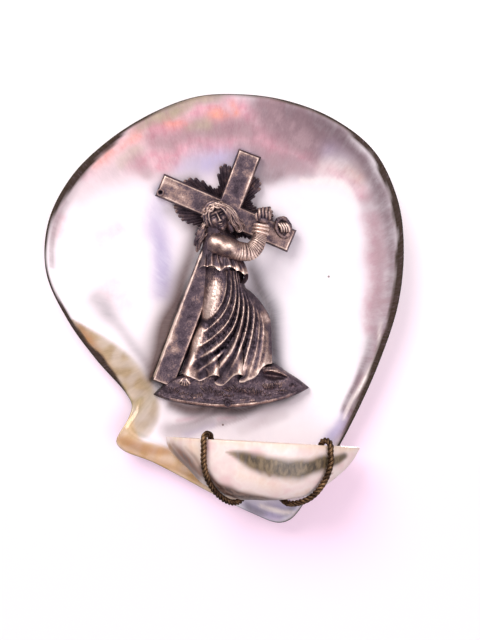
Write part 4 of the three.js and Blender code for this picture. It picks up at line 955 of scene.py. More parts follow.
def paint_valve(mesh):
    u, w, h = valve_coordinates(mesh)
    angle, _ = polar(u, w)
    edge = from_margin(u, w)
    uneven = 0.6 * ripples(u, w, 22, seed=16), 0.6 * ripples(u, w, 22, seed=17)
    for name, (power, lines) in ZONES.items():
        drawn = [stroke(u + uneven[0], w + uneven[1], line, power=power) for line in lines]
        set_attribute(mesh, name, np.max(drawn, axis=0))
    faded = blend(0.8, 1, ease(ripples(u, w, 7, seed=14), -1, 1))
    for name, line in HINGE_LAYERS.items():
        set_attribute(mesh, name, stroke(u, w, line, power=9) * faded)
    set_attribute(mesh, "border", 1 - ease(edge, border_width(u, w) - 0.7, border_width(u, w) + 0.4))
    set_attribute(mesh, "flow", np.stack([STREAK_RADIUS * np.cos(angle), STREAK_RADIUS * np.sin(angle),
                                          STREAK_STRETCH * edge], axis=1))
    away, turn = np.hypot(u - UMBO[0], w - UMBO[1]), np.arctan2(w - UMBO[1], u - UMBO[0])
    set_attribute(mesh, "growth", np.stack([away, 9 * np.cos(turn), 9 * np.sin(turn)], axis=1))
    rays = 0.4 * ease(np.cos(RAY_COUNT * turn + 0.5 * ripples(u, w, 60, seed=12)), 0.3, 1)
    rays *= ease(np.sin(2 * np.pi * away / SCALE_PITCH / 3), -1, 0.6) * ease(away, 10, 30)
    set_attribute(mesh, "rays", rays)
    set_attribute(mesh, "ground_flat", 1 - ease(back_height(u, w), 0.1, 0.9))
    under = (h < (back_height(u, w) + front_height(u, w)) / 2).astype(float)
    for polygon in mesh.polygons:
        polygon.material_index = int(np.mean([under[vertex] for vertex in polygon.vertices]) > 0.5)


paint_valve(valve.data)

# %% [markdown]
# ## The basin
# The basin is a boat cut from a thick shell, with its rim ground straight. It could be a solid with its
# hollow cut out, but one grid, which runs down the front, up the back and round the hollow, can have a
# rounded rim. The hollow gets shallow at both ends, where a real shell's sides grow together.

# %% The basin's surface
BASIN_KEEL = [
    (-23.2, -54.2), (-21.3, -57.6), (-16.2, -62.6), (-9.1, -69.4), (-0.1, -73.9), (9, -75.2), (19.7, -75.1),
    (28, -73.8), (35.8, -69.6), (43, -64.4), (47.2, -59.4), (49.2, -55.9),
]
BASIN_RIM_W = (-51.6, -55.2)
BASIN_RIM_LEAN = 0.065
BASIN_FRONT = [(-23.2, 11), (-21.3, 17.5), (-15, 26), (-4, 32.6), (10, 35.4), (24, 34), (36, 27.4),
               (44, 19.8), (49.2, 13.6)]
BASIN_WALL, BASIN_HOLLOW = 2.2, (-20, 42.8)
BASIN_LEFT, BASIN_RIGHT = BASIN_KEEL[0][0], BASIN_KEEL[-1][0]
BASIN_STATIONS, BASIN_ROUND = 220, 200
RIM_SHARE, RIM_ROUND = 0.05, 0.35


def basin_section(u):
    """Rim, depth, half width and middle of the basin at u, set so that its back lies on the valve."""
    rim = blend(*BASIN_RIM_W, (u - BASIN_LEFT) / (BASIN_RIGHT - BASIN_LEFT))
    depth = rim - line_value(BASIN_KEEL, u)
    front = line_value(BASIN_FRONT, u)
    back = front_height(u, rim)
    parts = np.linspace(0, 1, 11)[:, None]
    for _ in range(3):
        half = np.maximum(0.5, (front - back) / 2)
        seats = front_height(u + 0 * parts, rim - parts * depth) - half * (1 - np.sqrt(1 - parts**2))
        back = np.maximum(seats.max(axis=0), 0) + TOUCH_GAP
    half = np.maximum(0.6, (front - back) / 2)
    return rim, depth, half, front - half


def basin_point(u, turn, inward=0.0, deep=1.0):
    """A place on the basin. turn is 0 at the back rim, a quarter at the keel and a half in front."""
    u = np.atleast_1d(np.asarray(u, float))
    rim, depth, half, middle = basin_section(u)
    h = middle - (half - inward) * np.cos(turn)
    lean = BASIN_RIM_LEAN * (h - (middle - half))
    return np.stack([u, rim + lean - (depth * deep - inward) * np.sin(turn), h], axis=-1)


def hollow_point(u, turn):
    """The same place on the basin's hollow, which runs out to nothing at both ends."""
    rim, depth, half, middle = basin_section(u)
    along = 2 * (u - BASIN_HOLLOW[0]) / (BASIN_HOLLOW[1] - BASIN_HOLLOW[0]) - 1
    deep = np.sqrt(np.maximum(0, 1 - along**4)) * np.maximum(depth - BASIN_WALL, 0)
    wide = np.maximum(half - BASIN_WALL, 0.3 * half)
    h = middle - wide * np.cos(turn)
    lean = BASIN_RIM_LEAN * (h - (middle - half))
    return np.stack([u, rim + lean - deep * np.sin(turn), h], axis=-1)


def basin_surface(across, down):
    """across runs along the basin; down runs round the section, outside first and then the hollow."""
    u = blend(BASIN_LEFT, BASIN_RIGHT, (1 - np.cos(across * np.pi)) / 2)
    outside = down < 0.5
    walk = np.where(outside, down, down - 0.5) * 2
    turn = np.clip((walk - RIM_SHARE) / (1 - 2 * RIM_SHARE), 0, 1) * np.pi
    turn = np.where(outside, turn, np.pi - turn)
    over = np.clip((RIM_SHARE - np.minimum(walk, 1 - walk)) / RIM_SHARE, 0, 1) * np.pi / 2
    outer, inner = basin_point(u, turn), hollow_point(u, turn)
    rough = 0.3 * (1 + ripples(u, 3.2 * turn, 10, seed=21)) / 2 * np.sin(turn)
    outer[:, 2] += rough * np.cos(turn)
    outer[:, 1] += rough * np.sin(turn)
    own, other = np.where(outside[:, None], (outer, inner), (inner, outer))
    point = own + (other - own) * ((1 - np.cos(over)) / 2)[:, None]
    rim = basin_point(u, turn * 0)[:, 1]
    below = np.maximum(0, rim - point[:, 1])
    point[:, 1] -= RIM_ROUND * (1 - np.sin(over)) * np.exp(-below / (2 * RIM_ROUND))
    return point.T


bm = bmesh.new()
add_sheet(bm, BASIN_STATIONS, BASIN_ROUND, basin_surface)
bmesh.ops.remove_doubles(bm, verts=bm.verts, dist=MERGE_MM)
close_holes(bm)
basin = finish(bm, "basin", from_valve, "basin_shell", [porcelain], replaced=["font_basin"], crease=70)

# %% [markdown]
# ## Bands and patches on the basin
# The band is what is left of the shell's outer layer, along the basin below its rim. Its strokes are drawn
# as seen from the front, and the hollow gets none of them.

# %% Paint the basin's bands
BASIN_ZONES = {
    "cream": (2, [
        [(-19, -50.6, 1.4, 0.8), (0, -50.6, 1.6, 0.6), (20, -52, 2, 0.6), (38, -53.6, 2, 0.8),
         (46, -55, 1.5, 0.8)],
        [(-13, -54, 3, 0.7), (-10, -58, 2.4, 0.6)], [(4, -63, 2, 0.3), (17, -68, 3, 0.4)]]),
    "brown": (2, [
        [(-22, -54, 1.2, 0.7), (-19.4, -57, 1.8, 0.9), (-15, -61.6, 2, 0.9), (-11, -65.4, 1.6, 0.8)],
        [(-20.2, -53.6, 1.2, 0.6), (-17, -57, 2.2, 0.95), (-12.8, -61.4, 2.2, 0.95),
         (-9.6, -64.4, 1.4, 0.8)],
        [(-15.6, -54.4, 0.8, 0.3), (-12.6, -57.4, 1.1, 0.6), (-10.2, -60.4, 1.2, 0.6)],
        [(13.6, -61.6, 0.5, 0.9), (15.4, -63.6, 0.6, 0.9)],
        [(17.8, -61, 0.4, 0.7), (18.4, -63.6, 0.5, 0.8)],
        [(6, -57.6, 1.4, 0.4), (10.6, -60.4, 1.6, 0.6), (12, -62.4, 1, 0.5)],
        [(36.8, -63.6, 0.4, 0.7), (38.4, -64.4, 0.4, 0.7)]]),
    "mauve": (3, [
        [(-9.5, -61.3, 1.2, 0.9), (-7, -65.7, 1.8, 1.1), (-2.2, -69.4, 2.2, 1.2), (4, -71.7, 2.1, 1.2),
         (11.8, -73.3, 1.6, 1.15), (19.5, -74.1, 1.1, 0.9)]]),
    "green": (3.4, [
        [(-0.2, -55.4, 0.6, 0.5), (3.1, -56, 1.5, 0.9), (7.8, -57.9, 2.8, 1.1), (13.5, -59.8, 3.6, 1.15),
         (19.2, -61.1, 3.9, 1.2), (24.9, -61.7, 3.9, 1.2), (29.7, -61.1, 3.4, 1.2),
         (34.4, -59.8, 2.7, 1.15), (39.2, -59.2, 2.2, 1.1), (42.9, -57.9, 1.5, 1)]]),
}


def paint_basin(mesh):
    u, w, h = valve_coordinates(mesh)
    rim, depth, half, middle = basin_section(u)
    below = w - rim - BASIN_RIM_LEAN * (h - middle + half)
    sunk = (1 - np.hypot((h - middle) / half, below / depth)) * np.minimum(half, depth)
    outside = 1 - ease(sunk, 0.7, 1.4)
    uneven = 0.3 * ripples(u, w, 9, seed=24)
    for name, (power, lines) in BASIN_ZONES.items():
        strength = np.max([stroke(u, w + uneven, line, power=power) for line in lines], axis=0)
        set_attribute(mesh, name, strength * outside)


paint_basin(basin.data)

# %% [markdown]
# ## The twisted wire
# The wire is three strands of brass, twisted and bent by hand. Its ends hook over the rim, its sides run
# down the front and under the keel, and its middle lies behind the valve between two holes. A tube with a
# bump would look flat at its edges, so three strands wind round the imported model's route.

# %% The wire's route
WIRE_DIAMETER, WIRE_CLEAR, WIRE_ARCH_RISE, WIRE_HOOK_SPARE, WIRE_BACK_BEND = 2.4, 0.35, 1.8, 0.2, 1.7
WIRE_HOOK_DEPTHS = (21, 10)
WIRE_LEFT_RUN = [(-7.9, 170), (-8, 158), (-7.6, 145), (-6.4, 131), (-4.2, 117), (-1.4, 104), (1.6, 91),
                 (4.2, 77), (6.2, 63)]
WIRE_RIGHT_RUN = [(36.6, 170), (36.8, 158), (36.1, 144), (34.6, 129), (32.2, 114), (29.2, 102), (25.6, 93),
                  (22, 81), (19.8, 66)]
STRAND_COUNT, STRAND_PITCH, STRAND_SIDES = 3, 5.0, 12


def basin_normal(u, turn):
    step = 0.01
    along = basin_point(u + step, turn) - basin_point(u - step, turn)
    across = basin_point(u, turn + step) - basin_point(u, turn - step)
    normal = np.cross(along[0], across[0])
    return normal / np.linalg.norm(normal)


def off_basin(u, degrees, away):
    turn = math.radians(degrees)
    return basin_point(u, turn)[0] + basin_normal(u, turn) * away


def wire_hook(u):
    radius = WIRE_DIAMETER / 2
    outward = basin_normal(u, math.radians(170)) * (1, 0, 1)
    outward /= np.linalg.norm(outward)
    edge = basin_point(u, math.pi)[0] - outward * BASIN_WALL / 2
    bend = BASIN_WALL / 2 + WIRE_CLEAR + radius
    legs = [off_basin(u, 180 - depth, -(BASIN_WALL + WIRE_CLEAR + WIRE_HOOK_SPARE + radius))
            for depth in WIRE_HOOK_DEPTHS]
    arch = [edge + outward * bend * math.cos(turn) + np.array((0, WIRE_ARCH_RISE * math.sin(turn), 0))
            for turn in np.radians((180, 135, 90, 45, 0))]
    return legs + arch


def wire_side(run, hole, other_hole):
    away = WIRE_DIAMETER / 2 + WIRE_CLEAR
    towards = np.subtract(other_hole, hole) / np.hypot(*np.subtract(other_hole, hole))
    points = wire_hook(run[0][0]) + [off_basin(u, degrees, away) for u, degrees in run]
    points.append(np.array((*hole, front_height(*hole) + WIRE_DIAMETER / 2)))
    for turn in np.radians((0, 45, 90)):
        along = WIRE_BACK_BEND * (1 - math.cos(turn))
        down = WIRE_BACK_BEND * math.sin(turn) + TOUCH_GAP
        points.append(np.array((*(np.array(hole) + towards * along), back_height(*hole) - down)))
    return points


def wire_route():
    left = wire_side(WIRE_LEFT_RUN, *WIRE_HOLES)
    right = wire_side(WIRE_RIGHT_RUN, *reversed(WIRE_HOLES))
    return smooth_line(left + right[::-1], 1400)

# %% Twist three strands round the route
def even_steps(route, step):
    """The same route with points a step apart."""
    length = np.concatenate([[0], np.cumsum(np.linalg.norm(np.diff(route, axis=0), axis=1))])
    places = np.linspace(0, length[-1], int(length[-1] / step) + 1)
    return np.stack([np.interp(places, length, route[:, axis]) for axis in range(3)], axis=1), length[-1]


def add_twisted(bm, route, step, diameter, pitch, strands, sides):
    """Strands that wind round a route and touch each other, inside the whole rope's diameter."""
    route, length = even_steps(route, step)
    side, other = frames_along(route)
    strand_radius = diameter / 2 / (1 + 1 / math.sin(math.pi / strands))
    off = diameter / 2 - strand_radius
    for strand in range(strands):
        turn = 2 * np.pi * (np.linspace(0, length, len(route)) / pitch + strand / strands)
        line = route + off * (np.cos(turn)[:, None] * side + np.sin(turn)[:, None] * other)
        add_tube(bm, line, rounded(len(route), length, strand_radius), sides)
    return length


bm = bmesh.new()
wire_length = add_twisted(bm, wire_route(), 0.3, WIRE_DIAMETER, STRAND_PITCH, STRAND_COUNT, STRAND_SIDES)
finish(bm, "cradle_wire_twisted", from_valve, "brown_brass", [brown_brass], replaced=["cradle_wire"])
print(f"wire: {wire_length:.0f} mm long")

# %% [markdown]
# ## The cross
# The cross is one flat casting with a raised bead along its edges. Two boxes would cross without a joint,
# so it is five patches of a fine grid, merged where they meet. The height of each vertex follows from its
# distance to the edge, which is then pulled down to the back.

# %% Patches of the cross
CAST_CELL = 0.25
CROSS_EDGE_HEIGHT, CROSS_FACE_DROP = 2.1, 0.12
CROSS_CHAMFER, BEAD_INSET, BEAD_HALF_WIDTH, BEAD_HEIGHT = 0.75, 0.9, 0.15, 0.11


def sides_meet(upright_side, beam_side):
    """Where a line along the upright meets a line along the beam, as u and w."""
    upright, beam = np.array(upright_point(0, upright_side)), np.array(beam_point(0, beam_side))
    down = np.array(upright_point(1, upright_side)) - upright
    along = np.array(beam_point(1, beam_side)) - beam
    return upright + down * np.linalg.solve(np.stack([down, -along], axis=1), beam - upright)[0]


def add_patch(bm, corners, height):
    """A grid between four corners, given anticlockwise from the lower left, with a height for each place."""
    low_left, low_right, high_right, high_left = (np.array(corner) for corner in corners)
    sides = low_right - low_left, high_left - low_left
    columns, rows = (round(np.linalg.norm(side) / CAST_CELL) for side in sides)

    def place(across, up):
        across, up = across[:, None], up[:, None]
        flat = blend(blend(low_left, low_right, across), blend(high_left, high_right, across), up)
        return np.stack([flat[:, 0], flat[:, 1], height(flat[:, 0], flat[:, 1])])

    add_sheet(bm, columns, rows, place)


def close_back(bm, base=0.0):
    """Pulls the open edge of a relief down to its back and closes it."""
    bmesh.ops.remove_doubles(bm, verts=bm.verts, dist=MERGE_MM)
    rim = [edge for edge in bm.edges if edge.is_boundary]
    for item in bmesh.ops.extrude_edge_only(bm, edges=rim)["geom"]:
        if isinstance(item, bmesh.types.BMVert):
            item.co.z = base
    close_holes(bm)


def into_timber(start, end, width, u, w):
    """How far places lie inside a straight timber, in millimetres."""
    along = np.subtract(end, start)
    length = np.hypot(*along)
    along = along / length
    place = (u - start[0]) * along[0] + (w - start[1]) * along[1]
    off = (u - start[0]) * along[1] - (w - start[1]) * along[0]
    return np.minimum(width / 2 - np.abs(off), np.minimum(place, length - place))


def into_cross(u, w):
    upright = into_timber(upright_point(0), upright_point(UPRIGHT_LENGTH), UPRIGHT_WIDTH, u, w)
    beam = into_timber(beam_point(0), beam_point(BEAM_LENGTH), BEAM_WIDTH, u, w)
    return np.maximum(upright, beam)


def cross_height(u, w):
    inside = into_cross(u, w)
    face = CROSS_THICKNESS - CROSS_FACE_DROP
    rise = blend(CROSS_EDGE_HEIGHT, face, np.sin(np.clip(inside / CROSS_CHAMFER, 0, 1) * np.pi / 2))
    bead = BEAD_HEIGHT * np.exp(-(((inside - BEAD_INSET) / BEAD_HALF_WIDTH) ** 2))
    rough = 0.035 * ripples(u, w, 3.1, seed=31) + 0.02 * ripples(u, w, 1.1, seed=32)
    return rise + bead + rough * ease(inside, 0.4, 1.4)


half_upright, half_beam = UPRIGHT_WIDTH / 2, BEAM_WIDTH / 2
signs = (-1, -1), (1, -1), (1, 1), (-1, 1)
low_left, low_right, high_right, high_left = (
    sides_meet(side * half_upright, level * half_beam) for side, level in signs
)
cross_patches = [
    [low_left, low_right, high_right, high_left],
    [high_left, high_right, upright_point(0, half_upright), upright_point(0, -half_upright)],
    [beam_point(0, -half_beam), low_left, high_left, beam_point(0, half_beam)],
    [low_right, beam_point(BEAM_LENGTH, -half_beam), beam_point(BEAM_LENGTH, half_beam), high_right],
    [upright_point(UPRIGHT_LENGTH, -half_upright), upright_point(UPRIGHT_LENGTH, half_upright),
     low_right, low_left],
]
bm = bmesh.new()
for corners in cross_patches:
    add_patch(bm, corners, cross_height)
close_back(bm)
finish_cast(bm, "cross_cast", "cross", crease=50, rub=lambda u, w, k: 0.6 * ease(k, 3.6, 3.95), worn=[
    [(-23, 40.6, 2.2, 0.2), (-17, 38.6, 2.6, 0.3), (-12, 37, 1.8, 0.1)],
    [(-24.6, 44.6, 0.8, 0.4), (-15, 41, 0.8, 0.2)],
    [(6.6, 48, 1.6, 0.2), (8.8, 45.4, 2, 0.4), (7.4, 41.6, 1.6, 0.35), (6, 38, 1.2, 0.2)],
    # A painted highlight along the upright's left edge
    [(-10.3, 17, 0.35, 1.2), (-28, -28.6, 0.35, 1.2)],
    [(-20.4, -8, 2.2, 0.6), (-22, -13.4, 2.2, 0.6), (-20.2, -18.4, 2, 0.5)],
    [(15, 26, 1.6, 0.4), (20, 23.6, 1.6, 0.3)],
])

# %% [markdown]
# ## The rays
# A plate of rays stands out behind the crossing, each a long ridge with a square end, of different lengths.
# Copies of one ray would leave gaps between them, so it is one fan-shaped grid whose reach and ridges come
# from the direction.

# %% The fan of rays
RAY_THICKNESS, RAY_LIFT, RAY_ANGLE, RAYS_FROM = 1.4, 0.15, 5, -122
# Reach from the crossing in millimetres, for directions in degrees
RAY_REACHES = [
    (-122, 12), (-100, 12), (-60, 10.4), (-40, 15), (-20, 17), (8, 16.6), (12, 11.6), (24, 10.4),
    (30, 10.8), (36, 15.2), (46, 17.8), (54, 17.2), (70, 17), (85, 17.6), (92, 18.8), (101, 16.8),
    (106, 11.6), (115, 10.6), (122, 12.4), (129, 16.6), (136, 19.2), (141, 20.4), (157, 20.4), (173, 20.3),
    (180, 19), (189, 17), (201, 12.6), (216, 10.8), (238, 12),
]
RAY_SPOKES, RAY_ROWS = 1008, 40
crossing = sides_meet(0, 0)


def ray_surface(across, down):
    degrees = blend(RAYS_FROM, RAYS_FROM + 360, across)
    place = (degrees + 360) / RAY_ANGLE
    middle = (np.floor(place) + 0.5) * RAY_ANGLE - 360
    off = np.abs(2 * (place - np.floor(place)) - 1)
    reach = line_value(RAY_REACHES, np.where(middle < RAYS_FROM, middle + 360, middle))
    radius = down * (reach - 0.5 * off**2)
    ridge = RAY_THICKNESS - 0.55 * off**2.2 - 0.1 * np.cos(4 * np.pi * off) * (1 - off)
    end = ease(reach - radius, 0, 0.45)
    u = crossing[0] + radius * np.cos(np.radians(degrees))
    w = crossing[1] + radius * np.sin(np.radians(degrees))
    return u, w, RAY_LIFT + (ridge - 0.1) * blend(0.7, 1, end)


bm = bmesh.new()
add_sheet(bm, RAY_SPOKES, RAY_ROWS, ray_surface)
close_back(bm, RAY_LIFT)
finish_cast(bm, "glory_rays_cast", "glory_rays", rub=0.15)

# %% [markdown]
# ## The ground
# The figure walks on a strip of grassy ground with a rolled lower edge. Tufts are fans of short blades,
# each one brush stroke of relief, because separate blades would stand off the casting. A stone lies in a
# hollow at the right.

# %% The strip of ground
GROUND_THICKNESS, GROUND_COLUMNS, GROUND_ROWS = 6, 300, 74
GROUND_SWELLS = [(0.22, 7, 42), (0.05, 1.3, 43), (0.02, 0.7, 44)]
GROUND_LOW = GROUND_OUTLINE[:8]
GROUND_HIGH = [GROUND_OUTLINE[0]] + GROUND_OUTLINE[:9:-1] + GROUND_OUTLINE[9:6:-1]
# Tufts: u and w of the foot, its width, the blades' length, first and last lean in degrees, and how many
TUFTS = [
    (-22.4, -34.6, 1.6, 3.4, 140, 95, 5), (-20.4, -35, 1.4, 3, 95, 50, 5),
    (-16.6, -35.8, 2, 1.8, 130, 60, 6), (-7.4, -35, 2.6, 3.2, 118, 92, 7),
    (-3.8, -35.6, 2.4, 2.4, 90, 50, 6), (-11.6, -36.2, 3, 1.8, 130, 70, 8),
    (2.2, -34.4, 3, 3.4, 146, 112, 7), (5.4, -34.8, 2, 2.6, 100, 70, 5), (0.4, -36.4, 3, 1.5, 120, 80, 6),
    (8.8, -35.2, 2.6, 3.2, 140, 100, 7), (11.6, -35.2, 1.6, 2.2, 90, 60, 4),
    (15.2, -33.2, 2.6, 2.4, 112, 84, 7), (18.4, -32.6, 2.4, 2.2, 100, 70, 6),
    (14.6, -36.2, 2.6, 1.5, 120, 70, 6), (20.6, -34.6, 2.4, 1.4, 110, 70, 6),
    (24.4, -32.4, 2, 1.3, 110, 60, 5), (-25.4, -35.8, 1.2, 1.4, 120, 60, 4),
]
LYING_BLADES = [(-8, 15, -37.4, 34), (-3, 14, -36.8, 18), (12, 27, -35.4, 26), (-23, -6, -36.9, 18)]
STONE_LIP = [(12.8, -26.8, 0.5, 0.1), (15.2, -26.1, 0.7, 1), (18.4, -26.6, 0.7, 1.1),
             (21.6, -28.2, 0.6, 0.4)]
STONE_HOLLOW = [(13.6, -27.9, 0.7, 0.6), (16.6, -28.4, 1.05, 2), (19.6, -28.6, 1, 1.9),
                (21.6, -28.9, 0.6, 0.6)]


def blades():
    rng = np.random.default_rng(41)
    for u, w, wide, length, first, last, count in TUFTS:
        for place, lean in zip(np.linspace(-0.5, 0.5, count), np.radians(np.linspace(first, last, count))):
            long = length * rng.uniform(0.7, 1.05)
            foot_u, foot_w = u + wide * place, w + rng.uniform(-0.2, 0.3)
            bend = lean + 0.35
            middle = foot_u + 0.55 * long * math.cos(lean), foot_w + 0.55 * long * math.sin(lean)
            tip = middle[0] + 0.45 * long * math.cos(bend), middle[1] + 0.45 * long * math.sin(bend)
            yield [(foot_u, foot_w, 0.16, 0.15), (*middle, 0.2, 0.42), (*tip, 0.12, 0.2)]
    for left, right, w, count in LYING_BLADES:
        for _ in range(count):
            u, dw, long = rng.uniform(left, right), rng.uniform(-0.45, 0.45), rng.uniform(0.7, 1.8)
            lying = w + dw + 0.0022 * (u - 1) ** 2
            yield [(u, lying, 0.15, 0.25), (u + long, lying + rng.uniform(-0.1, 0.25), 0.12, 0.2)]


def strokes_near(u, w, line, power=2.0):
    """A stroke worked out only where it can reach, which is much faster for many small ones."""
    points = np.array(line)
    reach = (3 if power >= 2 else 5) * points[:, 2].max()
    low, high = points[:, :2].min(0) - reach, points[:, :2].max(0) + reach
    near = (u > low[0]) & (u < high[0]) & (w > low[1]) & (w < high[1])
    result = np.zeros_like(u)
    if near.any():
        result[near] = stroke(u[near], w[near], line, 4, power)
    return result


def highest(u, w, lines, power=2.0):
    """The highest of several brush strokes at each place."""
    result = np.zeros_like(u)
    for line in lines:
        result = np.maximum(result, strokes_near(u, w, line, power))
    return result


def ground_surface(across, up):
    u = blend(GROUND_LOW[0][0], GROUND_LOW[-1][0], across)
    low, high = line_value(GROUND_LOW, u), line_value(GROUND_HIGH, u)
    w = blend(low, high, up)
    from_low, from_high = w - low, high - w
    tip = np.minimum(u - GROUND_LOW[0][0], GROUND_LOW[-1][0] - u)
    full = blend(3.4, GROUND_THICKNESS, ease(tip, -2, 9)) - 0.25
    roll = np.sqrt(np.clip(1 - (1 - np.clip(from_low / 1.3, 0, 1)) ** 2, 0, 1))
    rim = blend(1.6, full, roll) - 0.45 * ease(from_low, 1.5, 2.1) * ease(tip, 1, 5)
    back = blend(0.5, 1, np.sqrt(np.clip(from_high / 1.2, 0, 1)))
    relief = highest(u, w, blades()) * ease(from_low, 1.2, 2.2) * ease(from_high, 0, 0.8)
    stone = strokes_near(u, w, STONE_LIP) - strokes_near(u, w, STONE_HOLLOW)
    swell = sum(depth * ripples(u, w, length, seed=seed) for depth, length, seed in GROUND_SWELLS)
    return u, w, rim * back + relief + stone + swell * ease(tip, 0, 3) * ease(from_low, 0.3, 1.5)


bm = bmesh.new()
add_sheet(bm, GROUND_COLUMNS, GROUND_ROWS, ground_surface)
close_back(bm)
finish_cast(bm, "ground_cast", "ground", rub=lambda u, w, k: 0.4 * ease(k, 4.9, 5.7))

# %% [markdown]
# ## The robe
# The figure is one casting in high relief: a long robe that hangs in deep folds, with a knee and a shin
# pressing through. Simulated cloth would find folds of its own, so the sculptor's relief is rebuilt as a
# grid between two outlines. Each fold is a brush stroke that raises the cloth, and the last part bends to a
# hem line.

# %% The robe's cloth
ROBE_LEFT = [(-9.6, 13.5), (-9.9, 8), (-10.3, 0), (-10.6, -5.6), (-12.1, -11.3), (-14.2, -16.1),
             (-15.6, -20.4), (-17.4, -27.2)]
ROBE_RIGHT = [(5.6, 13.5), (5.9, 8), (6.6, 4.8), (8.6, 3.2), (11.8, 0), (14.5, -4), (15.9, -7),
              (16.6, -23.6)]
# The hem from left to right: u, w and height
HEM = [
    (-17.4, -27.2, 5.4), (-15.4, -27.8, 8.2), (-12.8, -28.9, 8.4), (-10.4, -29.9, 7.2), (-8.3, -29, 7.4),
    (-6.4, -27.9, 9), (-4.4, -27.6, 9.8), (-3.2, -28.3, 8.9), (-4.2, -29.4, 7.2), (-5, -30.6, 6.6),
    (-3.8, -31.6, 7), (-2, -31.6, 7.6), (0.3, -29.7, 8.2), (2.4, -27.8, 9.4), (4.2, -27.3, 10),
    (5.6, -27.9, 9), (4.4, -29.2, 7.4), (4.3, -30.4, 7), (5.8, -30.5, 7.2), (7.6, -29.7, 7.4),
    (9.4, -28.9, 7.8), (11, -27.6, 8), (12.2, -25.6, 7.8), (14.2, -23.9, 7), (16.6, -23.6, 4.8),
]
# Folds from the waist to the hem: u, w, half width and height of the crest
FOLDS = [
    [(-0.4, 11, 0.6, 0.8), (-0.7, 5, 0.6, 1.1), (-1.9, 0, 0.7, 1), (-5, -4.6, 0.8, 0.7),
     (-8.6, -7.4, 0.7, 0.2)],
    [(1.2, 11, 0.6, 0.9), (1, 2, 0.75, 1.3), (-1.7, -4.6, 0.85, 1.4), (-6.4, -9.6, 0.9, 1.2),
     (-11, -12.8, 0.8, 0.5)],
    [(2.3, 11, 0.6, 0.9), (3, 1.2, 0.75, 1.3), (0.3, -7.3, 0.85, 1.5), (-4.8, -12.9, 0.9, 1.4),
     (-9.8, -16.6, 0.9, 1.1), (-12.8, -18.2, 0.8, 0.4)],
    [(3.2, 11, 0.6, 0.9), (4.3, -0.2, 0.75, 1.3), (2.3, -9.3, 0.85, 1.5), (-2.6, -15.9, 0.95, 1.5),
     (-8, -19.9, 0.95, 1.2), (-12.9, -22.4, 0.9, 0.6)],
    [(4, 10, 0.6, 1), (6, -1.4, 0.8, 1.6), (4.5, -10.5, 0.95, 2), (1.4, -18.4, 1.05, 2.1),
     (-2.6, -23.9, 1.1, 2), (-5.4, -27.2, 1.1, 1.5)],
    [(-1.4, -18.6, 0.7, 0.3), (-4.6, -21.4, 0.8, 1.2), (-8.4, -24.4, 0.85, 1.2), (-11.8, -26.6, 0.9, 0.8)],
    [(-9.4, -24.2, 0.6, 0.4), (-7.6, -26, 0.7, 0.9), (-7, -28.4, 0.7, 0.6)],
    [(4.8, 8, 0.6, 1), (7.7, -2.2, 0.75, 1.4), (6.8, -11, 0.85, 1.5), (4.2, -19, 0.9, 1.4),
     (0.9, -25.4, 1, 1.2), (-1.4, -29.6, 1, 0.8)],
    [(5.4, 6, 0.6, 0.9), (9.6, -2.6, 0.75, 1.3), (9.3, -11, 0.9, 1.5), (7.4, -19, 0.95, 1.7),
     (5, -26.6, 1.1, 1.7)],
    [(10.2, -1.2, 0.6, 0.5), (11.6, -7, 0.75, 1.2), (11.5, -13, 0.85, 1.3), (10.4, -19.4, 0.9, 1.3),
     (8.6, -25.4, 1, 1.1), (7.4, -29.2, 1, 0.8)],
    [(12.2, -4, 0.6, 0.4), (13.3, -9, 0.75, 1), (13.2, -15, 0.85, 1.2), (12.4, -20.6, 0.9, 1.2),
     (10.8, -26.6, 1, 1.1)],
    [(14.6, -8, 0.6, 0.4), (15, -13, 0.75, 0.9), (14.8, -18.6, 0.85, 1), (13.8, -23.6, 0.9, 0.9)],
]
THIGH = [(-3.8, 8.4, 2.2, 0.4), (-4.8, 5, 2.9, 1.7), (-5.9, 0.6, 3, 2.6), (-7.5, -3.8, 2.5, 2.6),
         (-8.5, -6.4, 1.7, 1.4)]
SHIN = [(-9.4, -9.8, 1.6, 1), (-10.6, -12, 2.2, 2.1), (-11.9, -16, 2.2, 2.3), (-13.1, -20.4, 1.7, 1.9),
        (-13.9, -24, 1.2, 0.9)]
BACK_LEG = [(8, 2, 2, 0.2), (12.4, -3.6, 2.2, 0.9), (13.8, -7.4, 1.8, 1.2), (13.8, -18, 2.2, 0.4)]
ROBE_OUT = [(0, 8.2), (0.3, 7.6), (0.6, 7.6), (0.8, 7.4), (1, 7)]
FOLD_CREST = 1.35
ROBE_COLUMNS, ROBE_ROWS = 250, 270
CLOTH_SHARE, HEM_BEND = 0.955, 0.72


def along_line(line, part):
    """Each coordinate of a many-point line at a part of its length."""
    steps = np.linspace(0, 1, len(line))
    return np.stack([np.interp(part, steps, line[:, axis]) for axis in range(line.shape[1])], axis=-1)


def edge_and_underside(down, share):
    """How far a place is down the cloth, and how far it is turned under beyond the hem."""
    return np.clip(down / share, 0, 1), np.clip((down - share) / (1 - share), 0, 1)


def hung_cloth(sides, hem, across, fall, to_hem):
    """Cloth between two outlines, whose lower part is drawn to a hem: u, w and the hem's height."""
    straight = blend(*(along_line(side, fall) for side in sides), across[:, None])
    at_hem = along_line(hem, across)
    ends = blend(*(side[-1] for side in sides), across[:, None])
    u, w = (straight + to_hem[:, None] * (at_hem[:, :2] - ends)).T
    return u, w, at_hem[:, 2]


robe_sides = [smooth_line(side, 300) for side in (ROBE_LEFT, ROBE_RIGHT)]
robe_hem = smooth_line(HEM, 600)


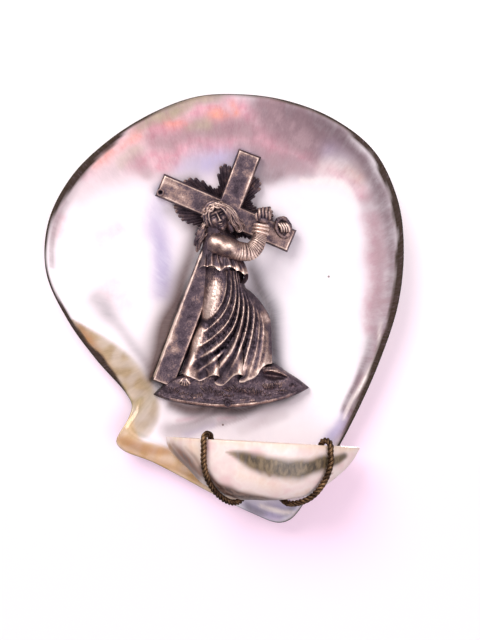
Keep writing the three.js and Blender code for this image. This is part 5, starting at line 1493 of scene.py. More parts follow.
def robe_surface(across, down):
    fall, under = edge_and_underside(down, CLOTH_SHARE)
    u, w, hem = hung_cloth(robe_sides, robe_hem, across, fall, ease(fall, HEM_BEND, 1) ** 1.6)
    belly = np.sin(np.pi * across) ** 0.48
    shape = sum(strokes_near(u, w, line, 2.4) for line in (THIGH, SHIN, BACK_LEG))
    folds = highest(u, w, FOLDS, FOLD_CREST)
    grain = 0.05 * ripples(u, w, 1.9, seed=51) + 0.03 * ripples(u, w, 0.9, seed=52)
    k = line_value(ROBE_OUT, fall) * belly + shape + (folds - 0.5) * belly**0.5 + grain
    at_hem = hem - 0.3 + 0.35 * folds
    k = blend(k, at_hem, ease(fall, HEM_BEND + 0.04, 1) ** 2) + 0.2 * np.exp(-(((1 - fall) / 0.012) ** 2))
    return u, w + 1.3 * under, k - (k - 2.5) * under


bm = bmesh.new()
add_relief(bm, ROBE_COLUMNS, ROBE_ROWS, robe_surface)
# The strokes of wear on the thigh, shin and knees are painted highlights as well as polish
finish_cast(bm, "robe_cast", rub=lambda u, w, k: ease(k, 4, 7) * blend(0.55, 1, ease(w, -29, -20)), worn=[
    [(-4.2, 6.6, 2.2, 0.7), (-5.8, 1, 2.9, 1.5), (-7.6, -3.8, 2.2, 1.5), (-8.6, -6, 1.2, 0.9)],
    [(-10.2, -10.8, 1.5, 0.9), (-11.6, -14.4, 1.9, 1.5), (-12.6, -18.4, 1.6, 1.4), (-13.8, -23, 1, 0.9)],
    [(13.4, -5, 1.6, 0.6), (14.6, -7.4, 1.2, 0.8)], [(14.4, -12, 1.2, 0.6), (13.2, -19, 1.4, 0.5)],
    [(8.6, -19, 1.2, 0.3), (6.4, -25, 1.6, 0.7)],
])

# %% [markdown]
# ## The blouse
# Above the robe hangs a short blouse, gathered at the chest, whose lower edge flutters in scallops. It is
# the same kind of grid, with a hem that stands off the robe for the dark shadow below it.

# %% The blouse
BLOUSE_LEFT = [(-6.6, 26.6), (-8.8, 23.6), (-9.8, 20), (-10, 16), (-10.6, 12.2)]
BLOUSE_RIGHT = [(0, 26.6), (3, 23.4), (5, 19), (5.2, 14), (6.4, 6.4)]
BLOUSE_HEM = [
    (-10.6, 12.2, 7), (-9.6, 12.9, 9.2), (-8.6, 13, 10.4), (-7.7, 12.7, 9.7), (-6.8, 13, 10.4),
    (-5.9, 13.2, 10.9), (-4.9, 12.8, 10.6), (-3.8, 11.7, 10.9), (-2.7, 11.2, 11.2), (-1.9, 11.7, 10.5),
    (-1.1, 12.5, 10), (0, 12.6, 10.7), (1.2, 12.6, 11), (2.3, 12.1, 10.4), (3.3, 11.3, 11), (4.3, 11.2, 11),
    (5.2, 10.5, 10.2), (6.2, 9.8, 10.6), (7.4, 10.1, 9.6), (7.6, 8.6, 8.4), (7.2, 7.4, 7.6),
    (6.4, 6.4, 6.4),
]
BLOUSE_FOLDS = [
    [(-7.6, 21, 0.4, 0.4), (-8.6, 16.6, 0.5, 0.9), (-8.6, 13, 0.5, 0.6)],
    [(-5.6, 20, 0.4, 0.4), (-6, 16.4, 0.45, 0.9), (-5.9, 13.4, 0.45, 0.6)],
    [(-4.2, 20, 0.35, 0.4), (-3.8, 16, 0.4, 0.9), (-2.8, 12, 0.45, 0.7)],
    [(-2.4, 19.6, 0.3, 0.5), (-2.2, 16.4, 0.35, 0.8), (-1.9, 14, 0.3, 0.4)],
    [(-0.6, 19.4, 0.35, 0.5), (0, 16.2, 0.45, 1), (0.9, 12.8, 0.5, 0.7)],
    [(1.2, 18.6, 0.3, 0.5), (2, 15.4, 0.4, 0.8), (3.6, 11.8, 0.45, 0.6)],
    [(2.8, 17.6, 0.3, 0.5), (4, 14.4, 0.4, 0.8), (5.9, 10.4, 0.5, 0.6)],
]
BLOUSE_OUT = [(0, 7.4), (0.25, 8.6), (0.6, 8.6), (1, 9.8)]
BLOUSE_COLUMNS, BLOUSE_ROWS, BLOUSE_SHARE = 200, 110, 0.93
blouse_sides = [smooth_line(side, 200) for side in (BLOUSE_LEFT, BLOUSE_RIGHT)]
blouse_hem = smooth_line(BLOUSE_HEM, 500)


def blouse_surface(across, down):
    fall, under = edge_and_underside(down, BLOUSE_SHARE)
    u, w, hem = hung_cloth(blouse_sides, blouse_hem, across, fall, ease(fall, 0.35, 1) ** 1.3)
    belly = (4 * across * (1 - across)) ** 0.3
    folds = highest(u, w, BLOUSE_FOLDS)
    k = line_value(BLOUSE_OUT, fall) * belly + folds * belly + 0.03 * ripples(u, w, 1.4, seed=55)
    lip = 0.2 * np.exp(-(((1 - fall) / 0.025) ** 2))
    k = blend(k, hem, ease(fall, 0.55, 1) ** 1.5) + lip
    aside = ease(across, 0.8, 0.95)
    return u - 1.8 * under * aside, w + 1.4 * under * (1 - aside), k - (k - 5) * under


bm = bmesh.new()
add_relief(bm, BLOUSE_COLUMNS, BLOUSE_ROWS, blouse_surface)
finish_cast(bm, "blouse_cast", rub=lambda u, w, k: blend(0.35, 0.9, 1 - ease(w, 12.6, 13.6)) * ease(k, 6, 9))

# %% [markdown]
# ## The sleeve
# The near arm crosses the chest and reaches up over the cross's arm. Its sleeve is gathered into close
# rings, which could be separate rings, but a tube whose radius ripples keeps them one cloth.

# %% The sleeve's rings
# The arm's middle line: u, w, height and radius
ARM = [(-6.6, 22.4, 6.4, 2.6), (-4.8, 21.6, 8, 3.7), (-1.8, 20.6, 9.2, 3.8), (1.8, 19.3, 9.9, 3.7),
       (5.2, 18.3, 9.9, 3.5), (8.2, 18.4, 9.6, 3.4), (10.4, 20.2, 9.2, 3.1), (11.5, 22.8, 8.8, 2.8),
       (12.1, 25.6, 8.5, 2.5), (12.4, 28, 8.3, 2.3)]
SLEEVE_RINGS, RINGS_FROM = 34, 0.3
ARM_STEPS, ARM_SIDES = 300, 72
CUFF_RINGS, CUFF_CORD = [(12.1, 25.4, 2.75), (12.25, 26.8, 2.6), (12.45, 28.2, 2.4)], 0.55


def sleeve_shape(across, around):
    turn = 2 * np.pi * around
    wander = 0.5 * np.sin(turn + 9 * across) + 0.35 * np.sin(2 * turn + 5 * across)
    wander += 0.3 * np.sin(31 * across)
    ring = 1 - np.abs(np.sin(np.pi * (SLEEVE_RINGS * across + wander)))
    strength = 0.075 * ease(across, RINGS_FROM, RINGS_FROM + 0.25)
    strength *= 1 + 0.4 * np.sin(23 * across + 2 * turn)
    soft = 0.03 * np.sin(3 * turn + 11 * across) * np.sin(17 * across)
    smooth = 1 - ease(across, RINGS_FROM, RINGS_FROM + 0.2)
    soft += 0.018 * np.sin(60 * across + 2 * np.sin(2 * turn)) * smooth
    return 1 + soft - strength * ring**2


bm = bmesh.new()
arm = smooth_line(ARM, ARM_STEPS)
shoulder = np.sqrt(np.clip(np.linspace(0, 1, ARM_STEPS) * 12, 0, 1))
add_tube(bm, arm[:, :3], arm[:, 3] * shoulder, ARM_SIDES, sleeve_shape)
close_holes(bm)
# The stroke of wear on the shoulder is a painted highlight as well as polish
finish_cast(bm, "sleeve_cast", rub=lambda u, w, k: blend(0.3, 0.7, ease(u, 0, 6)),
            worn=[[(-6, 22.4, 1.6, 0.4), (1, 20.2, 1.6, 0.4)]])

# %% A cuff of three cords
CORD_TURNS = 26


def cord_lay(across, around):
    return 1 + 0.12 * np.sin(2 * np.pi * (CORD_TURNS * across + around))


bm = bmesh.new()
arm_side, arm_other = frames_along(arm[:, :3])
for u, w, radius in CUFF_RINGS:
    nearest = np.argmin(np.hypot(arm[:, 0] - u, arm[:, 1] - w))
    turns = np.linspace(0, 2 * np.pi, 73)[:, None]
    outward = np.cos(turns) * arm_side[nearest] + np.sin(turns) * arm_other[nearest]
    add_tube(bm, arm[nearest, :3] + radius * outward, CUFF_CORD, 14, cord_lay)
finish_cast(bm, "cuff_cast")

# %% [markdown]
# ## Melting shapes together
# Hands and heads are built from bars and balls, as a modeller rolls clay, and melted into one skin by a
# voxel remesh, which keeps the outside of everything that overlaps. A Boolean union would keep hard seams.

# %% A modeller's tools
HAND_VOXEL, FINE_VOXEL, HAIR_VOXEL = 0.14, 0.12, 0.18


def melted(bm, voxel):
    """One closed skin round everything in a bmesh."""
    bmesh.ops.remove_doubles(bm, verts=bm.verts, dist=MERGE_MM)
    bmesh.ops.recalc_face_normals(bm, faces=bm.faces)
    obj = add_object("clay", mesh_of(bm, "clay"))
    remesh = obj.modifiers.new("melt", "REMESH")
    remesh.mode, remesh.voxel_size, remesh.adaptivity = "VOXEL", voxel, 0
    skin = bmesh.new()
    skin.from_mesh(evaluated_mesh(obj))
    bpy.data.objects.remove(obj)
    bmesh.ops.smooth_vert(skin, verts=skin.verts, factor=0.5, use_axis_x=True, use_axis_y=True,
                          use_axis_z=True)
    return skin


def add_ball(bm, centre, half, turn=0.0, detail=4):
    """An egg shape with three half sizes, turned in the plane of the casting by an angle in degrees."""
    place = (Matrix.Translation(centre) @ Matrix.Rotation(math.radians(turn), 4, "Z")
             @ Matrix.Diagonal((*half, 1)))
    bmesh.ops.create_icosphere(bm, subdivisions=detail, radius=1, matrix=place)


def add_bar_of_clay(bm, knots, sides=20, steps=16):
    """A round-ended bar along knots of u, w, height and radius."""
    line = smooth_line(knots, (len(knots) - 1) * steps + 1)
    length = np.linalg.norm(np.diff(line[:, :3], axis=0), axis=1).sum()
    place = np.linspace(0, length, len(line))
    near = np.minimum(1, place / line[0, 3])
    far = np.minimum(1, (length - place) / line[-1, 3])
    radius = line[:, 3] * np.sqrt(1 - (1 - near) ** 2) * np.sqrt(1 - (1 - far) ** 2)
    add_tube(bm, line[:, :3], radius, sides)

# %% The near hand
FINGER_COUNT, FINGER_PITCH = 4, 1.22
FINGERTIPS = (0, 0.25, 0.15, -0.25)
bm = bmesh.new()
add_ball(bm, (13, 30.3, 8.3), (2.3, 2.3, 1.9), turn=-8)
for finger in range(FINGER_COUNT):
    u, high = 11.8 + FINGER_PITCH * finger, FINGERTIPS[finger]
    add_bar_of_clay(bm, [(u - 0.1, 30.2, 9.1, 0.66), (u, 32, 9.9, 0.7), (u + 0.05, 33.4 + high, 9.5, 0.68),
                         (u + 0.1, 34.1 + high, 8.2, 0.62), (u + 0.1, 34, 6.8, 0.55)])
add_bar_of_clay(bm, [(11.3, 29.6, 8.8, 0.7), (10.7, 31.2, 9.1, 0.7), (10.9, 32.8, 8.7, 0.62)])
finish_cast(melted(bm, HAND_VOXEL), "near_hand_cast", rub=0.7)

# %% The far hand, in the dark mouth of its sleeve
FAR_HAND, FAR_HAND_TURN = (20.6, 27.4), math.radians(16)
MOUTH_HALF, MOUTH_ROLL = (2.5, 3.5), 0.8


def in_far_sleeve(x, y):
    """Places across and along the mouth of the far sleeve, which leans to the left."""
    lean, rise = math.cos(FAR_HAND_TURN), math.sin(FAR_HAND_TURN)
    return FAR_HAND[0] + x * lean - y * rise, FAR_HAND[1] + x * rise + y * lean


def gathers(across, around):
    """Thick and thin places along the mouth's rolled edge."""
    return 1 + 0.14 * np.sin(2 * np.pi * 6 * across + 2) + 0.05 * np.sin(2 * np.pi * 17 * across)


bm = bmesh.new()
turns = np.linspace(0, 2 * np.pi, 97)
mouth = np.stack([*in_far_sleeve(MOUTH_HALF[0] * np.cos(turns), MOUTH_HALF[1] * np.sin(turns)),
                  4.7 + 0.5 * np.cos(turns - 2.2)], axis=1)
add_tube(bm, mouth, MOUTH_ROLL, 18, gathers)
add_ball(bm, (*FAR_HAND, 2.6), (2.6, 3.8, 1.7), turn=16)
finish_cast(melted(bm, HAND_VOXEL), "far_sleeve_cast", "far_hand", rub=lambda u, w, k: 0.3 * ease(k, 4, 5.4))

bm = bmesh.new()
add_ball(bm, (*in_far_sleeve(-0.6, 0.9), 3.6), (1.5, 1.9, 1.3), turn=30)
for finger in range(FINGER_COUNT):
    x, y = -1.3 + 0.86 * finger, 0.5 - 0.22 * finger
    add_bar_of_clay(bm, [
        (*in_far_sleeve(x - 0.6, y + 1.7), 4.2, 0.44), (*in_far_sleeve(x + 0.1, y + 1.1), 5.4, 0.5),
        (*in_far_sleeve(x + 0.6, y - 0.3), 5.9, 0.5), (*in_far_sleeve(x + 0.5, y - 1.6), 5.3, 0.45),
        (*in_far_sleeve(x + 0.1, y - 2.2), 4.3, 0.4),
    ])
finish_cast(melted(bm, FINE_VOXEL), "far_hand_cast", "far_hand", rub=lambda u, w, k: 1.4 * ease(k, 4.6, 5.8))

# %% The foot
INSTEP = (-16.2, -28.6)
TOE_SIZES, TOES_FROM, TOES_TO = (0.42, 0.46, 0.48, 0.5, 0.58), -132, -52
# Distance from the instep and height of a toe's root, knuckle and tip
TOE_JOINTS = [(0.6, 6.3), (2, 6.8), (3.3, 6.2)]

bm = bmesh.new()
add_bar_of_clay(bm, [(-14, -26.4, 4.4, 1.5), (-15.4, -27.6, 5, 1.6), (*INSTEP, 5.2, 1.5)])
for fan, size in zip(np.radians(np.linspace(TOES_FROM, TOES_TO, len(TOE_SIZES))), TOE_SIZES):
    add_bar_of_clay(bm, [(INSTEP[0] + far * math.cos(fan), INSTEP[1] + far * math.sin(fan), k, size)
                         for far, k in TOE_JOINTS])
finish_cast(melted(bm, FINE_VOXEL), "foot_cast")

# %% [markdown]
# ## The head
# The head rests against the cross, tilted to its side. It is one ball of clay, finely divided. The face is
# a calm, plain one on the usual proportions: the closed eyes are halfway up and an eye's width apart, and
# the nose ends halfway from the eyes to the chin. The same skin is raised as hair round it.

# %% The face and the hair
HEAD_CENTRE, HEAD_HALF, HEAD_TILT, HEAD_TURN = (-4.3, 31.6, 8.3), (4.1, 5.6, 4.3), 24, -8
# Touches on the face: x, y, half width, half height and how far the skin is raised, in millimetres
FACE = [
    (0, 1.15, 2.7, 0.5, 0.28), (1.75, 0.05, 1.05, 0.75, -0.75), (-1.75, 0.05, 1.05, 0.75, -0.75),
    (1.75, 0, 0.8, 0.42, 0.62), (-1.75, 0, 0.8, 0.42, 0.62), (1.75, -0.22, 0.75, 0.1, -0.16),
    (-1.75, -0.22, 0.75, 0.1, -0.16), (0, 0.3, 0.42, 0.9, 0.35), (0, -0.9, 0.42, 0.9, 0.75),
    (0, -1.9, 0.55, 0.5, 0.95), (0.62, -2.1, 0.3, 0.3, 0.4), (-0.62, -2.1, 0.3, 0.3, 0.4),
    (0, -2.65, 0.9, 0.25, -0.2), (0, -3.2, 1.05, 0.26, 0.4), (0, -3.48, 1, 0.1, -0.34),
    (0, -3.8, 0.8, 0.26, 0.42), (0, -4.3, 0.8, 0.25, -0.22), (0, -4.95, 1, 0.6, 0.5),
    (2.3, -1.7, 0.9, 0.8, 0.28), (-2.3, -1.7, 0.9, 0.8, 0.28), (2.3, -3.4, 0.8, 0.8, -0.25),
    (-2.3, -3.4, 0.8, 0.8, -0.25),
]
FACE_CENTRE, FACE_HALF = (0, -1.2), (2.9, 3.9)
HAIR_THICKNESS, HAIR_STRANDS = 0.75, 15


def head_place(x, y, z):
    """Head millimetres, x to its side, y up and z out of its face, on the casting."""
    turn, tilt = math.radians(HEAD_TURN), math.radians(HEAD_TILT)
    x, z = x * math.cos(turn) - z * math.sin(turn), x * math.sin(turn) + z * math.cos(turn)
    u = x * math.cos(tilt) - y * math.sin(tilt)
    w = x * math.sin(tilt) + y * math.cos(tilt)
    return np.stack([HEAD_CENTRE[0] + u, HEAD_CENTRE[1] + w, HEAD_CENTRE[2] + z], axis=-1)


def head_skin(direction):
    x, y, z = (direction * HEAD_HALF).T
    jaw = 1 - 0.3 * ease(-y, 0.6, 5.4)
    front = ease(direction[:, 2], -0.1, 0.25)
    from_face = np.hypot((x * jaw - FACE_CENTRE[0]) / FACE_HALF[0], (y - FACE_CENTRE[1]) / FACE_HALF[1])
    from_face = np.where(direction[:, 2] > 0, from_face, from_face + 1.2 * -direction[:, 2])
    hair = ease(from_face, 0.97, 1.1)
    strands = np.cos(2 * np.pi * HAIR_STRANDS * 0.3 * from_face + 1.2 * np.sin(2.2 * np.arctan2(y, x))
                     + 0.6 * ripples(x, y, 4, seed=61))
    raised = hair * (blend(0.3, HAIR_THICKNESS, ease(from_face, 1.05, 1.5)) + 0.17 * strands)
    beard = np.exp(-(((np.hypot(x / 2.6, (y + 2.4) / 2.9) - 1) / 0.22) ** 2)) * ease(-y, 2.2, 3.4)
    raised += (1 - hair) * beard * (0.22 + 0.12 * np.sin(9 * x + 2 * y) * np.cos(5 * y))
    for touch_x, touch_y, half_x, half_y, lift in FACE:
        mask = np.exp(-(((x - touch_x) / half_x) ** 2) - ((y - touch_y) / half_y) ** 2)
        raised += front * (1 - hair) * lift * mask
    flatter = 1 - 0.1 * front * (1 - hair)
    skin = np.stack([x * jaw, y, z * flatter], axis=1)
    return skin + direction * raised[:, None]


bm = bmesh.new()
bmesh.ops.create_icosphere(bm, subdivisions=7, radius=1)
directions = np.array([vertex.co.normalized() for vertex in bm.verts])
for vertex, point in zip(bm.verts, head_place(*head_skin(directions).T)):
    vertex.co = point
finish_cast(bm, "head_cast", rub=0.62)

# %% Neck, locks of hair and the cloth behind the shoulder
bm = bmesh.new()
add_bar_of_clay(bm, [(-5.6, 23, 5, 3.2), (-4.4, 27, 6.6, 2.9), (-3.4, 30, 7, 2.8)])
LOCKS = [
    [(-1.4, 35.4, 8.4, 0.7), (0.9, 33.8, 9, 0.8), (2.1, 31.8, 8.4, 0.8), (2.9, 29.9, 7.4, 0.8),
     (4.5, 28.4, 6.8, 0.75), (5.2, 26.9, 6.2, 0.65), (4.2, 25.9, 6, 0.5), (3.2, 26.4, 6.2, 0.35)],
    [(-0.6, 35.2, 7.6, 0.6), (1.7, 33.4, 8, 0.7), (3.1, 31.2, 7.4, 0.7), (4.3, 29.6, 6.6, 0.65),
     (5.7, 28, 6, 0.6), (6, 26.6, 5.6, 0.4)],
    [(-2, 34.8, 9, 0.6), (0, 32.8, 9.6, 0.7), (1, 30.6, 8.8, 0.7), (1.8, 28.8, 7.8, 0.7),
     (3.1, 27.4, 7, 0.6), (3.4, 26, 6.6, 0.4)],
    [(0, 30.4, 7.6, 1), (0.8, 28, 6.6, 1.2), (1.4, 25.6, 6, 1)],
]
HAIR_BEHIND = [
    [(-8.4, 28.6, 4.6, 1.1), (-10.2, 26.2, 4.4, 0.9), (-12.2, 24.4, 3.6, 0.5)],
    [(-8.6, 27.4, 4.4, 1.3), (-10.6, 24.4, 4.2, 1), (-12, 22.2, 3.4, 0.8), (-12.4, 20.4, 2.8, 0.4)],
    [(-8.4, 25.8, 4.2, 1.3), (-10.2, 22.6, 4, 1.1), (-11.2, 20, 3.2, 0.8), (-11.8, 18.2, 2.6, 0.4)],
    [(-9, 24.6, 4.8, 0.8), (-10.6, 21.6, 4.2, 0.6), (-10.8, 19, 3.6, 0.4)],
]
for line in LOCKS + HAIR_BEHIND:
    add_bar_of_clay(bm, line)
finish_cast(melted(bm, HAIR_VOXEL), "neck_and_hair_cast", rub=0.25)

# %% Fine strands on the locks
STRANDS_ON_LOCK, STRAND_STEPS = 6, 120
bm = bmesh.new()
rng = np.random.default_rng(63)
for line in LOCKS[:3] + HAIR_BEHIND:
    base = smooth_line(line, STRAND_STEPS)
    side, other = frames_along(base[:, :3])
    for strand in range(STRANDS_ON_LOCK):
        start, wave = 2 * np.pi * strand / STRANDS_ON_LOCK, rng.uniform(0, 2 * np.pi)
        turn = start + 0.4 * np.sin(np.linspace(0, 9, STRAND_STEPS) + wave)
        off = (base[:, 3] * 0.92)[:, None]
        route = base[:, :3] + off * (np.cos(turn)[:, None] * side + np.sin(turn)[:, None] * other)
        add_tube(bm, route, rounded(STRAND_STEPS, 12, 0.24, 0.5), 8)
finish_cast(bm, "hair_strands_cast", rub=lambda u, w, k: blend(0.3, 0.6, ease(u, -8, -5)))

# %% The crown of thorns: two plaited twigs round the brow, and a third along their middle
CROWN_TWIGS, CROWN_WAVE, CROWN_SWING, CROWN_RADIUS, CROWN_HEIGHT = 2, 5.2, 1.15, 0.32, 3.1
THORN_COUNT, BROW_STEPS, TWIG_LENGTH = 9, 260, 15


def on_brow(turn, height, out):
    """A place on the head's hair: turn sideways from the middle of the brow, height and distance out."""
    level = height / HEAD_HALF[1]
    wide = np.sqrt(1 - level**2)
    x = (HEAD_HALF[0] + out) * wide * np.sin(turn)
    z = (HEAD_HALF[2] + out) * wide * np.cos(turn)
    return head_place(x, height + 0 * turn, z)


bm = bmesh.new()
brow = np.linspace(-1.75, 1.75, BROW_STEPS)
level = CROWN_HEIGHT + 0.35 * np.cos(brow)
for twig in range(CROWN_TWIGS):
    phase = 2 * np.pi * (brow * HEAD_HALF[0] / CROWN_WAVE + twig / CROWN_TWIGS)
    route = on_brow(brow, level + CROWN_SWING * np.sin(phase), 1.1 + 0.25 * np.sin(2 * phase))
    add_tube(bm, route, rounded(BROW_STEPS, TWIG_LENGTH, CROWN_RADIUS), 10)
for turn in np.linspace(-1.4, 1.4, THORN_COUNT):
    lift = 1.15 if round(turn * 10) % 2 else -0.9
    height = CROWN_HEIGHT + 0.35 * math.cos(turn)
    foot, tip = on_brow(turn, height, 1.1), on_brow(turn + 0.12, height + 1.4 * lift, 1.6)
    add_tube(bm, np.linspace(foot, tip, 8), np.linspace(0.2, 0.03, 8), 6)
add_tube(bm, on_brow(brow, level + 0.25 * np.sin(9 * brow), 0.95), rounded(BROW_STEPS, TWIG_LENGTH, 0.22), 8)
close_holes(bm)
finish_cast(bm, "crown_cast", rub=0.45)

# %% [markdown]
# ## Rivets and their washers
# Two rivets hold the castings, each a pin with a domed head in front and a riveted tail behind, on a washer
# so that the shell doesn't crack. Cutting rings in a cylinder would do too, but a spun profile is how a
# turner would draw them.

# %% Rivets
RIVET_SHANK, RIVET_HEAD, WASHER_HOLE = 0.8, 1.4, 0.95
RIVET_HEADS = [("cross", 4), ("ground", 6)]
BEVEL = 0.12


def arc(radius, centre, start, end, steps=8):
    """Points of an arc in a profile, with angles in degrees."""
    turns = np.radians(np.linspace(start, end, steps + 1))
    return [(centre[0] + radius * math.cos(turn), centre[1] + radius * math.sin(turn)) for turn in turns]


def washer_profile(radius, hole, low, high, bevel=BEVEL):
    """A flat washer's section: square in its hole, with rounded outer edges."""
    return [(hole, low), *arc(bevel, (radius - bevel, low + bevel), -90, 0),
            *arc(bevel, (radius - bevel, high - bevel), 0, 90), (hole, high)]


for (name, face), (u, w) in zip(RIVET_HEADS, RIVETS):
    seat = rivet_seat(u, w)
    tail = seat - 2 * RIVET_TAIL
    base = face + TOUCH_GAP
    dome = [(0, tail), *arc(0.25, (1.0, tail + 0.25), -90, 0), (RIVET_SHANK, tail + RIVET_TAIL),
            (RIVET_SHANK, base), *arc(0.2, (RIVET_HEAD - 0.2, base + 0.2), -90, 20),
            *arc(0.3, (0.95, base + 0.55), 50, 130), (0.45, base + 0.5), (0, base + 0.42)]
    bm = bmesh.new()
    add_spun(bm, dome, 48, u, w)
    finish_cast(bm, f"rivet_{name}_turned", f"rivet_{name}", crease=50,
                rub=lambda u, w, k: blend(0.4, 1, ease(w, 0, 20)))
    bm = bmesh.new()
    high = seat - TOUCH_GAP
    washer = washer_profile(RIVET_WASHER_RADIUS, WASHER_HOLE, high - RIVET_WASHER_THICKNESS, high)
    add_spun(bm, washer, 64, u, w, closed=True)
    finish_brass(bm, f"rivet_washer_{name}_turned", f"rivet_washer_{name}", from_casting, crease=50)

# %% [markdown]
# ## The hanger
# Behind the crossing a threaded stud comes through the valve, with a washer, a strap with a rolled loop and
# a nut on it. The thread is a helix, because a row of rings would show no slope. The nut's corners are
# turned off with a cone, as on a lathe.

# %% The stud and its thread
STUD_RADIUS, FLANGE_RADIUS, FLANGE_THICKNESS, STUD_PAST_NUT = 1.25, 2.6, 0.8, 0.4
THREAD_PITCH, THREAD_DEPTH, THREAD_LENGTH = 0.45, 0.2, 4.2
HANGER_WASHER_THICKNESS, STRAP_THICKNESS, NUT_THICKNESS, NUT_FLATS = 0.8, 0.6, 1.5, 5
STRAP_HALF_WIDTH, NECK_HALF_WIDTH, LOOP_INNER_RADIUS, LOOP_TURN = 3, 1.75, 1, 300
washer_high = hanger_seat - TOUCH_GAP
strap_top = washer_high - HANGER_WASHER_THICKNESS - TOUCH_GAP
nut_top = strap_top - STRAP_THICKNESS - TOUCH_GAP
stud_low = nut_top - NUT_THICKNESS - STUD_PAST_NUT
thread_top = stud_low + THREAD_LENGTH
casting_back = casting_lift + stud_plane_w * math.sin(casting_lean)
stud_top = casting_back - TOUCH_GAP - FLANGE_RADIUS * math.sin(casting_lean)


def threaded(across, around):
    turns = THREAD_LENGTH / THREAD_PITCH * across - around
    runout = ease(across, 0, 0.06) * (1 - ease(across, 0.85, 1))
    return 1 - THREAD_DEPTH / STUD_RADIUS * (0.25 + runout * 0.75 * (0.5 + 0.5 * np.cos(2 * np.pi * turns)))


bm = bmesh.new()
rows = int(THREAD_LENGTH / THREAD_PITCH * 12)
route = np.linspace((STUD_U, STUD_W, stud_low), (STUD_U, STUD_W, thread_top), rows)
add_tube(bm, route, STUD_RADIUS, 48, threaded)
close_holes(bm)
flange = stud_top - FLANGE_THICKNESS
shank = [(0, thread_top - 0.1), (STUD_RADIUS - BEVEL, thread_top - 0.1), (STUD_RADIUS, thread_top + BEVEL),
         (STUD_RADIUS, flange), *arc(BEVEL, (FLANGE_RADIUS - BEVEL, flange + BEVEL), -90, 0),
         (FLANGE_RADIUS, stud_top), (0, stud_top)]
add_spun(bm, shank, 64, STUD_U, STUD_W)
finish_brass(bm, "hanger_stud_turned", "hanger_stud", crease=50)

# %% The washer
bm = bmesh.new()
washer_low = washer_high - HANGER_WASHER_THICKNESS
washer = washer_profile(HANGER_WASHER_RADIUS, STUD_HOLE_RADIUS, washer_low, washer_high)
add_spun(bm, washer, 96, STUD_U, STUD_W, closed=True)
finish_brass(bm, "hanger_washer_pressed", "hanger_washer", crease=50)

# %% The nut
NUT_COLUMNS, NUT_CHAMFER = 72, math.radians(30)


def nut_surface(across, down):
    """A six-sided nut; its corners are turned off where they stand past the flats."""
    angle = 2 * np.pi * across
    side = NUT_FLATS / 2 / np.cos((angle + np.pi / 6) % (np.pi / 3) - np.pi / 6)
    face = 0.98 * NUT_FLATS / 2
    turned = (side - face) * math.tan(NUT_CHAMFER)
    low, high, hole = nut_top - NUT_THICKNESS, nut_top, STUD_HOLE_RADIUS
    section = [(hole, low), (face, low), (side, low + turned), (side, high - turned), (face, high),
               (hole, high), (hole, low)]
    corner = np.rint(down * (len(section) - 1)).astype(int)
    radius, height = (np.choose(corner, [value + 0 * side for value in values]) for values in zip(*section))
    return STUD_U + radius * np.cos(angle), STUD_W + radius * np.sin(angle), height


bm = bmesh.new()
add_sheet(bm, NUT_COLUMNS, 6, nut_surface)
finish_brass(bm, "hanger_nut_milled", "hanger_nut", crease=20)

# %% [markdown]
# ## The strap and its loop
# The strap is a strip of brass sheet, round at the stud's hole and rolled into a loop at its narrow end. A
# modifier could bend it, but swept along its bent middle line it keeps its thickness. Then it is drilled.

# %% The strap
STRAP_REACH, STRAP_COLUMNS, STRAP_ROWS = 6, 32, 150
loop_middle = LOOP_INNER_RADIUS + STRAP_THICKNESS / 2
pivot_w, pivot_h = STUD_W + STRAP_REACH, strap_top - LOOP_INNER_RADIUS - STRAP_THICKNESS
strap_flat = STRAP_HALF_WIDTH + STRAP_REACH
strap_length = strap_flat + math.radians(LOOP_TURN) * loop_middle


def strap_surface(across, down):
    """across runs round the strip's section and down along its length."""
    at = down * strap_length
    from_stud = at - STRAP_HALF_WIDTH
    round_end = np.sqrt(np.clip(STRAP_HALF_WIDTH**2 - from_stud**2, 0, None))
    half = np.where(from_stud > 0, np.maximum(round_end, NECK_HALF_WIDTH), round_end)
    roll = np.maximum(at - strap_flat, 0) / loop_middle
    turn = 2 * np.pi * across
    side, face = (np.sign(wave) * np.abs(wave) ** 0.25 for wave in (np.cos(turn), np.sin(turn)))
    out = loop_middle + face * STRAP_THICKNESS / 2
    w = STUD_W + np.minimum(from_stud, STRAP_REACH) + out * np.sin(roll)
    return STUD_U + half * side, w, pivot_h + out * np.cos(roll)


bm = bmesh.new()
add_sheet(bm, STRAP_COLUMNS, STRAP_ROWS, strap_surface)
bmesh.ops.remove_doubles(bm, verts=bm.verts, dist=MERGE_MM)
close_holes(bm)
strap = finish_brass(bm, "hanger_strap_bent", "hanger_strap", crease=35)
drill(strap, bits([(STUD_U, STUD_W, strap_top - 2 * STRAP_THICKNESS, strap_top + STRAP_THICKNESS,
                    STUD_HOLE_RADIUS)], []))

# %% [markdown]
# ## The ring
# The ring hangs loose in the loop and is the one piece that moves. A torus would do, but the real ring is
# bent from round wire, and a fine cut shows where its two ends meet.

# %% The ring
RING_RADIUS, RING_WIRE, RING_STEPS, RING_CUT, RING_CUT_AT = 5.4, 0.6, 180, 0.9, math.radians(-60)
ring_w = pivot_w - RING_RADIUS
wire_section = [(RING_RADIUS + RING_WIRE * math.cos(turn), pivot_h + RING_WIRE * math.sin(turn))
                for turn in np.linspace(0, 2 * np.pi, 29)[:-1]]
bm = bmesh.new()
made = add_spun(bm, wire_section, RING_STEPS, STUD_U, ring_w, closed=True)
for vertex in made:
    turn = math.atan2(vertex.co.y - ring_w, vertex.co.x - STUD_U)
    if abs(turn - RING_CUT_AT) < math.pi / RING_STEPS:
        middle = Vector((STUD_U + RING_RADIUS * math.cos(turn), ring_w + RING_RADIUS * math.sin(turn),
                         pivot_h))
        vertex.co = middle + RING_CUT * (vertex.co - middle)
finish_brass(bm, "hanger_ring_wire", "hanger_ring", body="ring", crease=50)

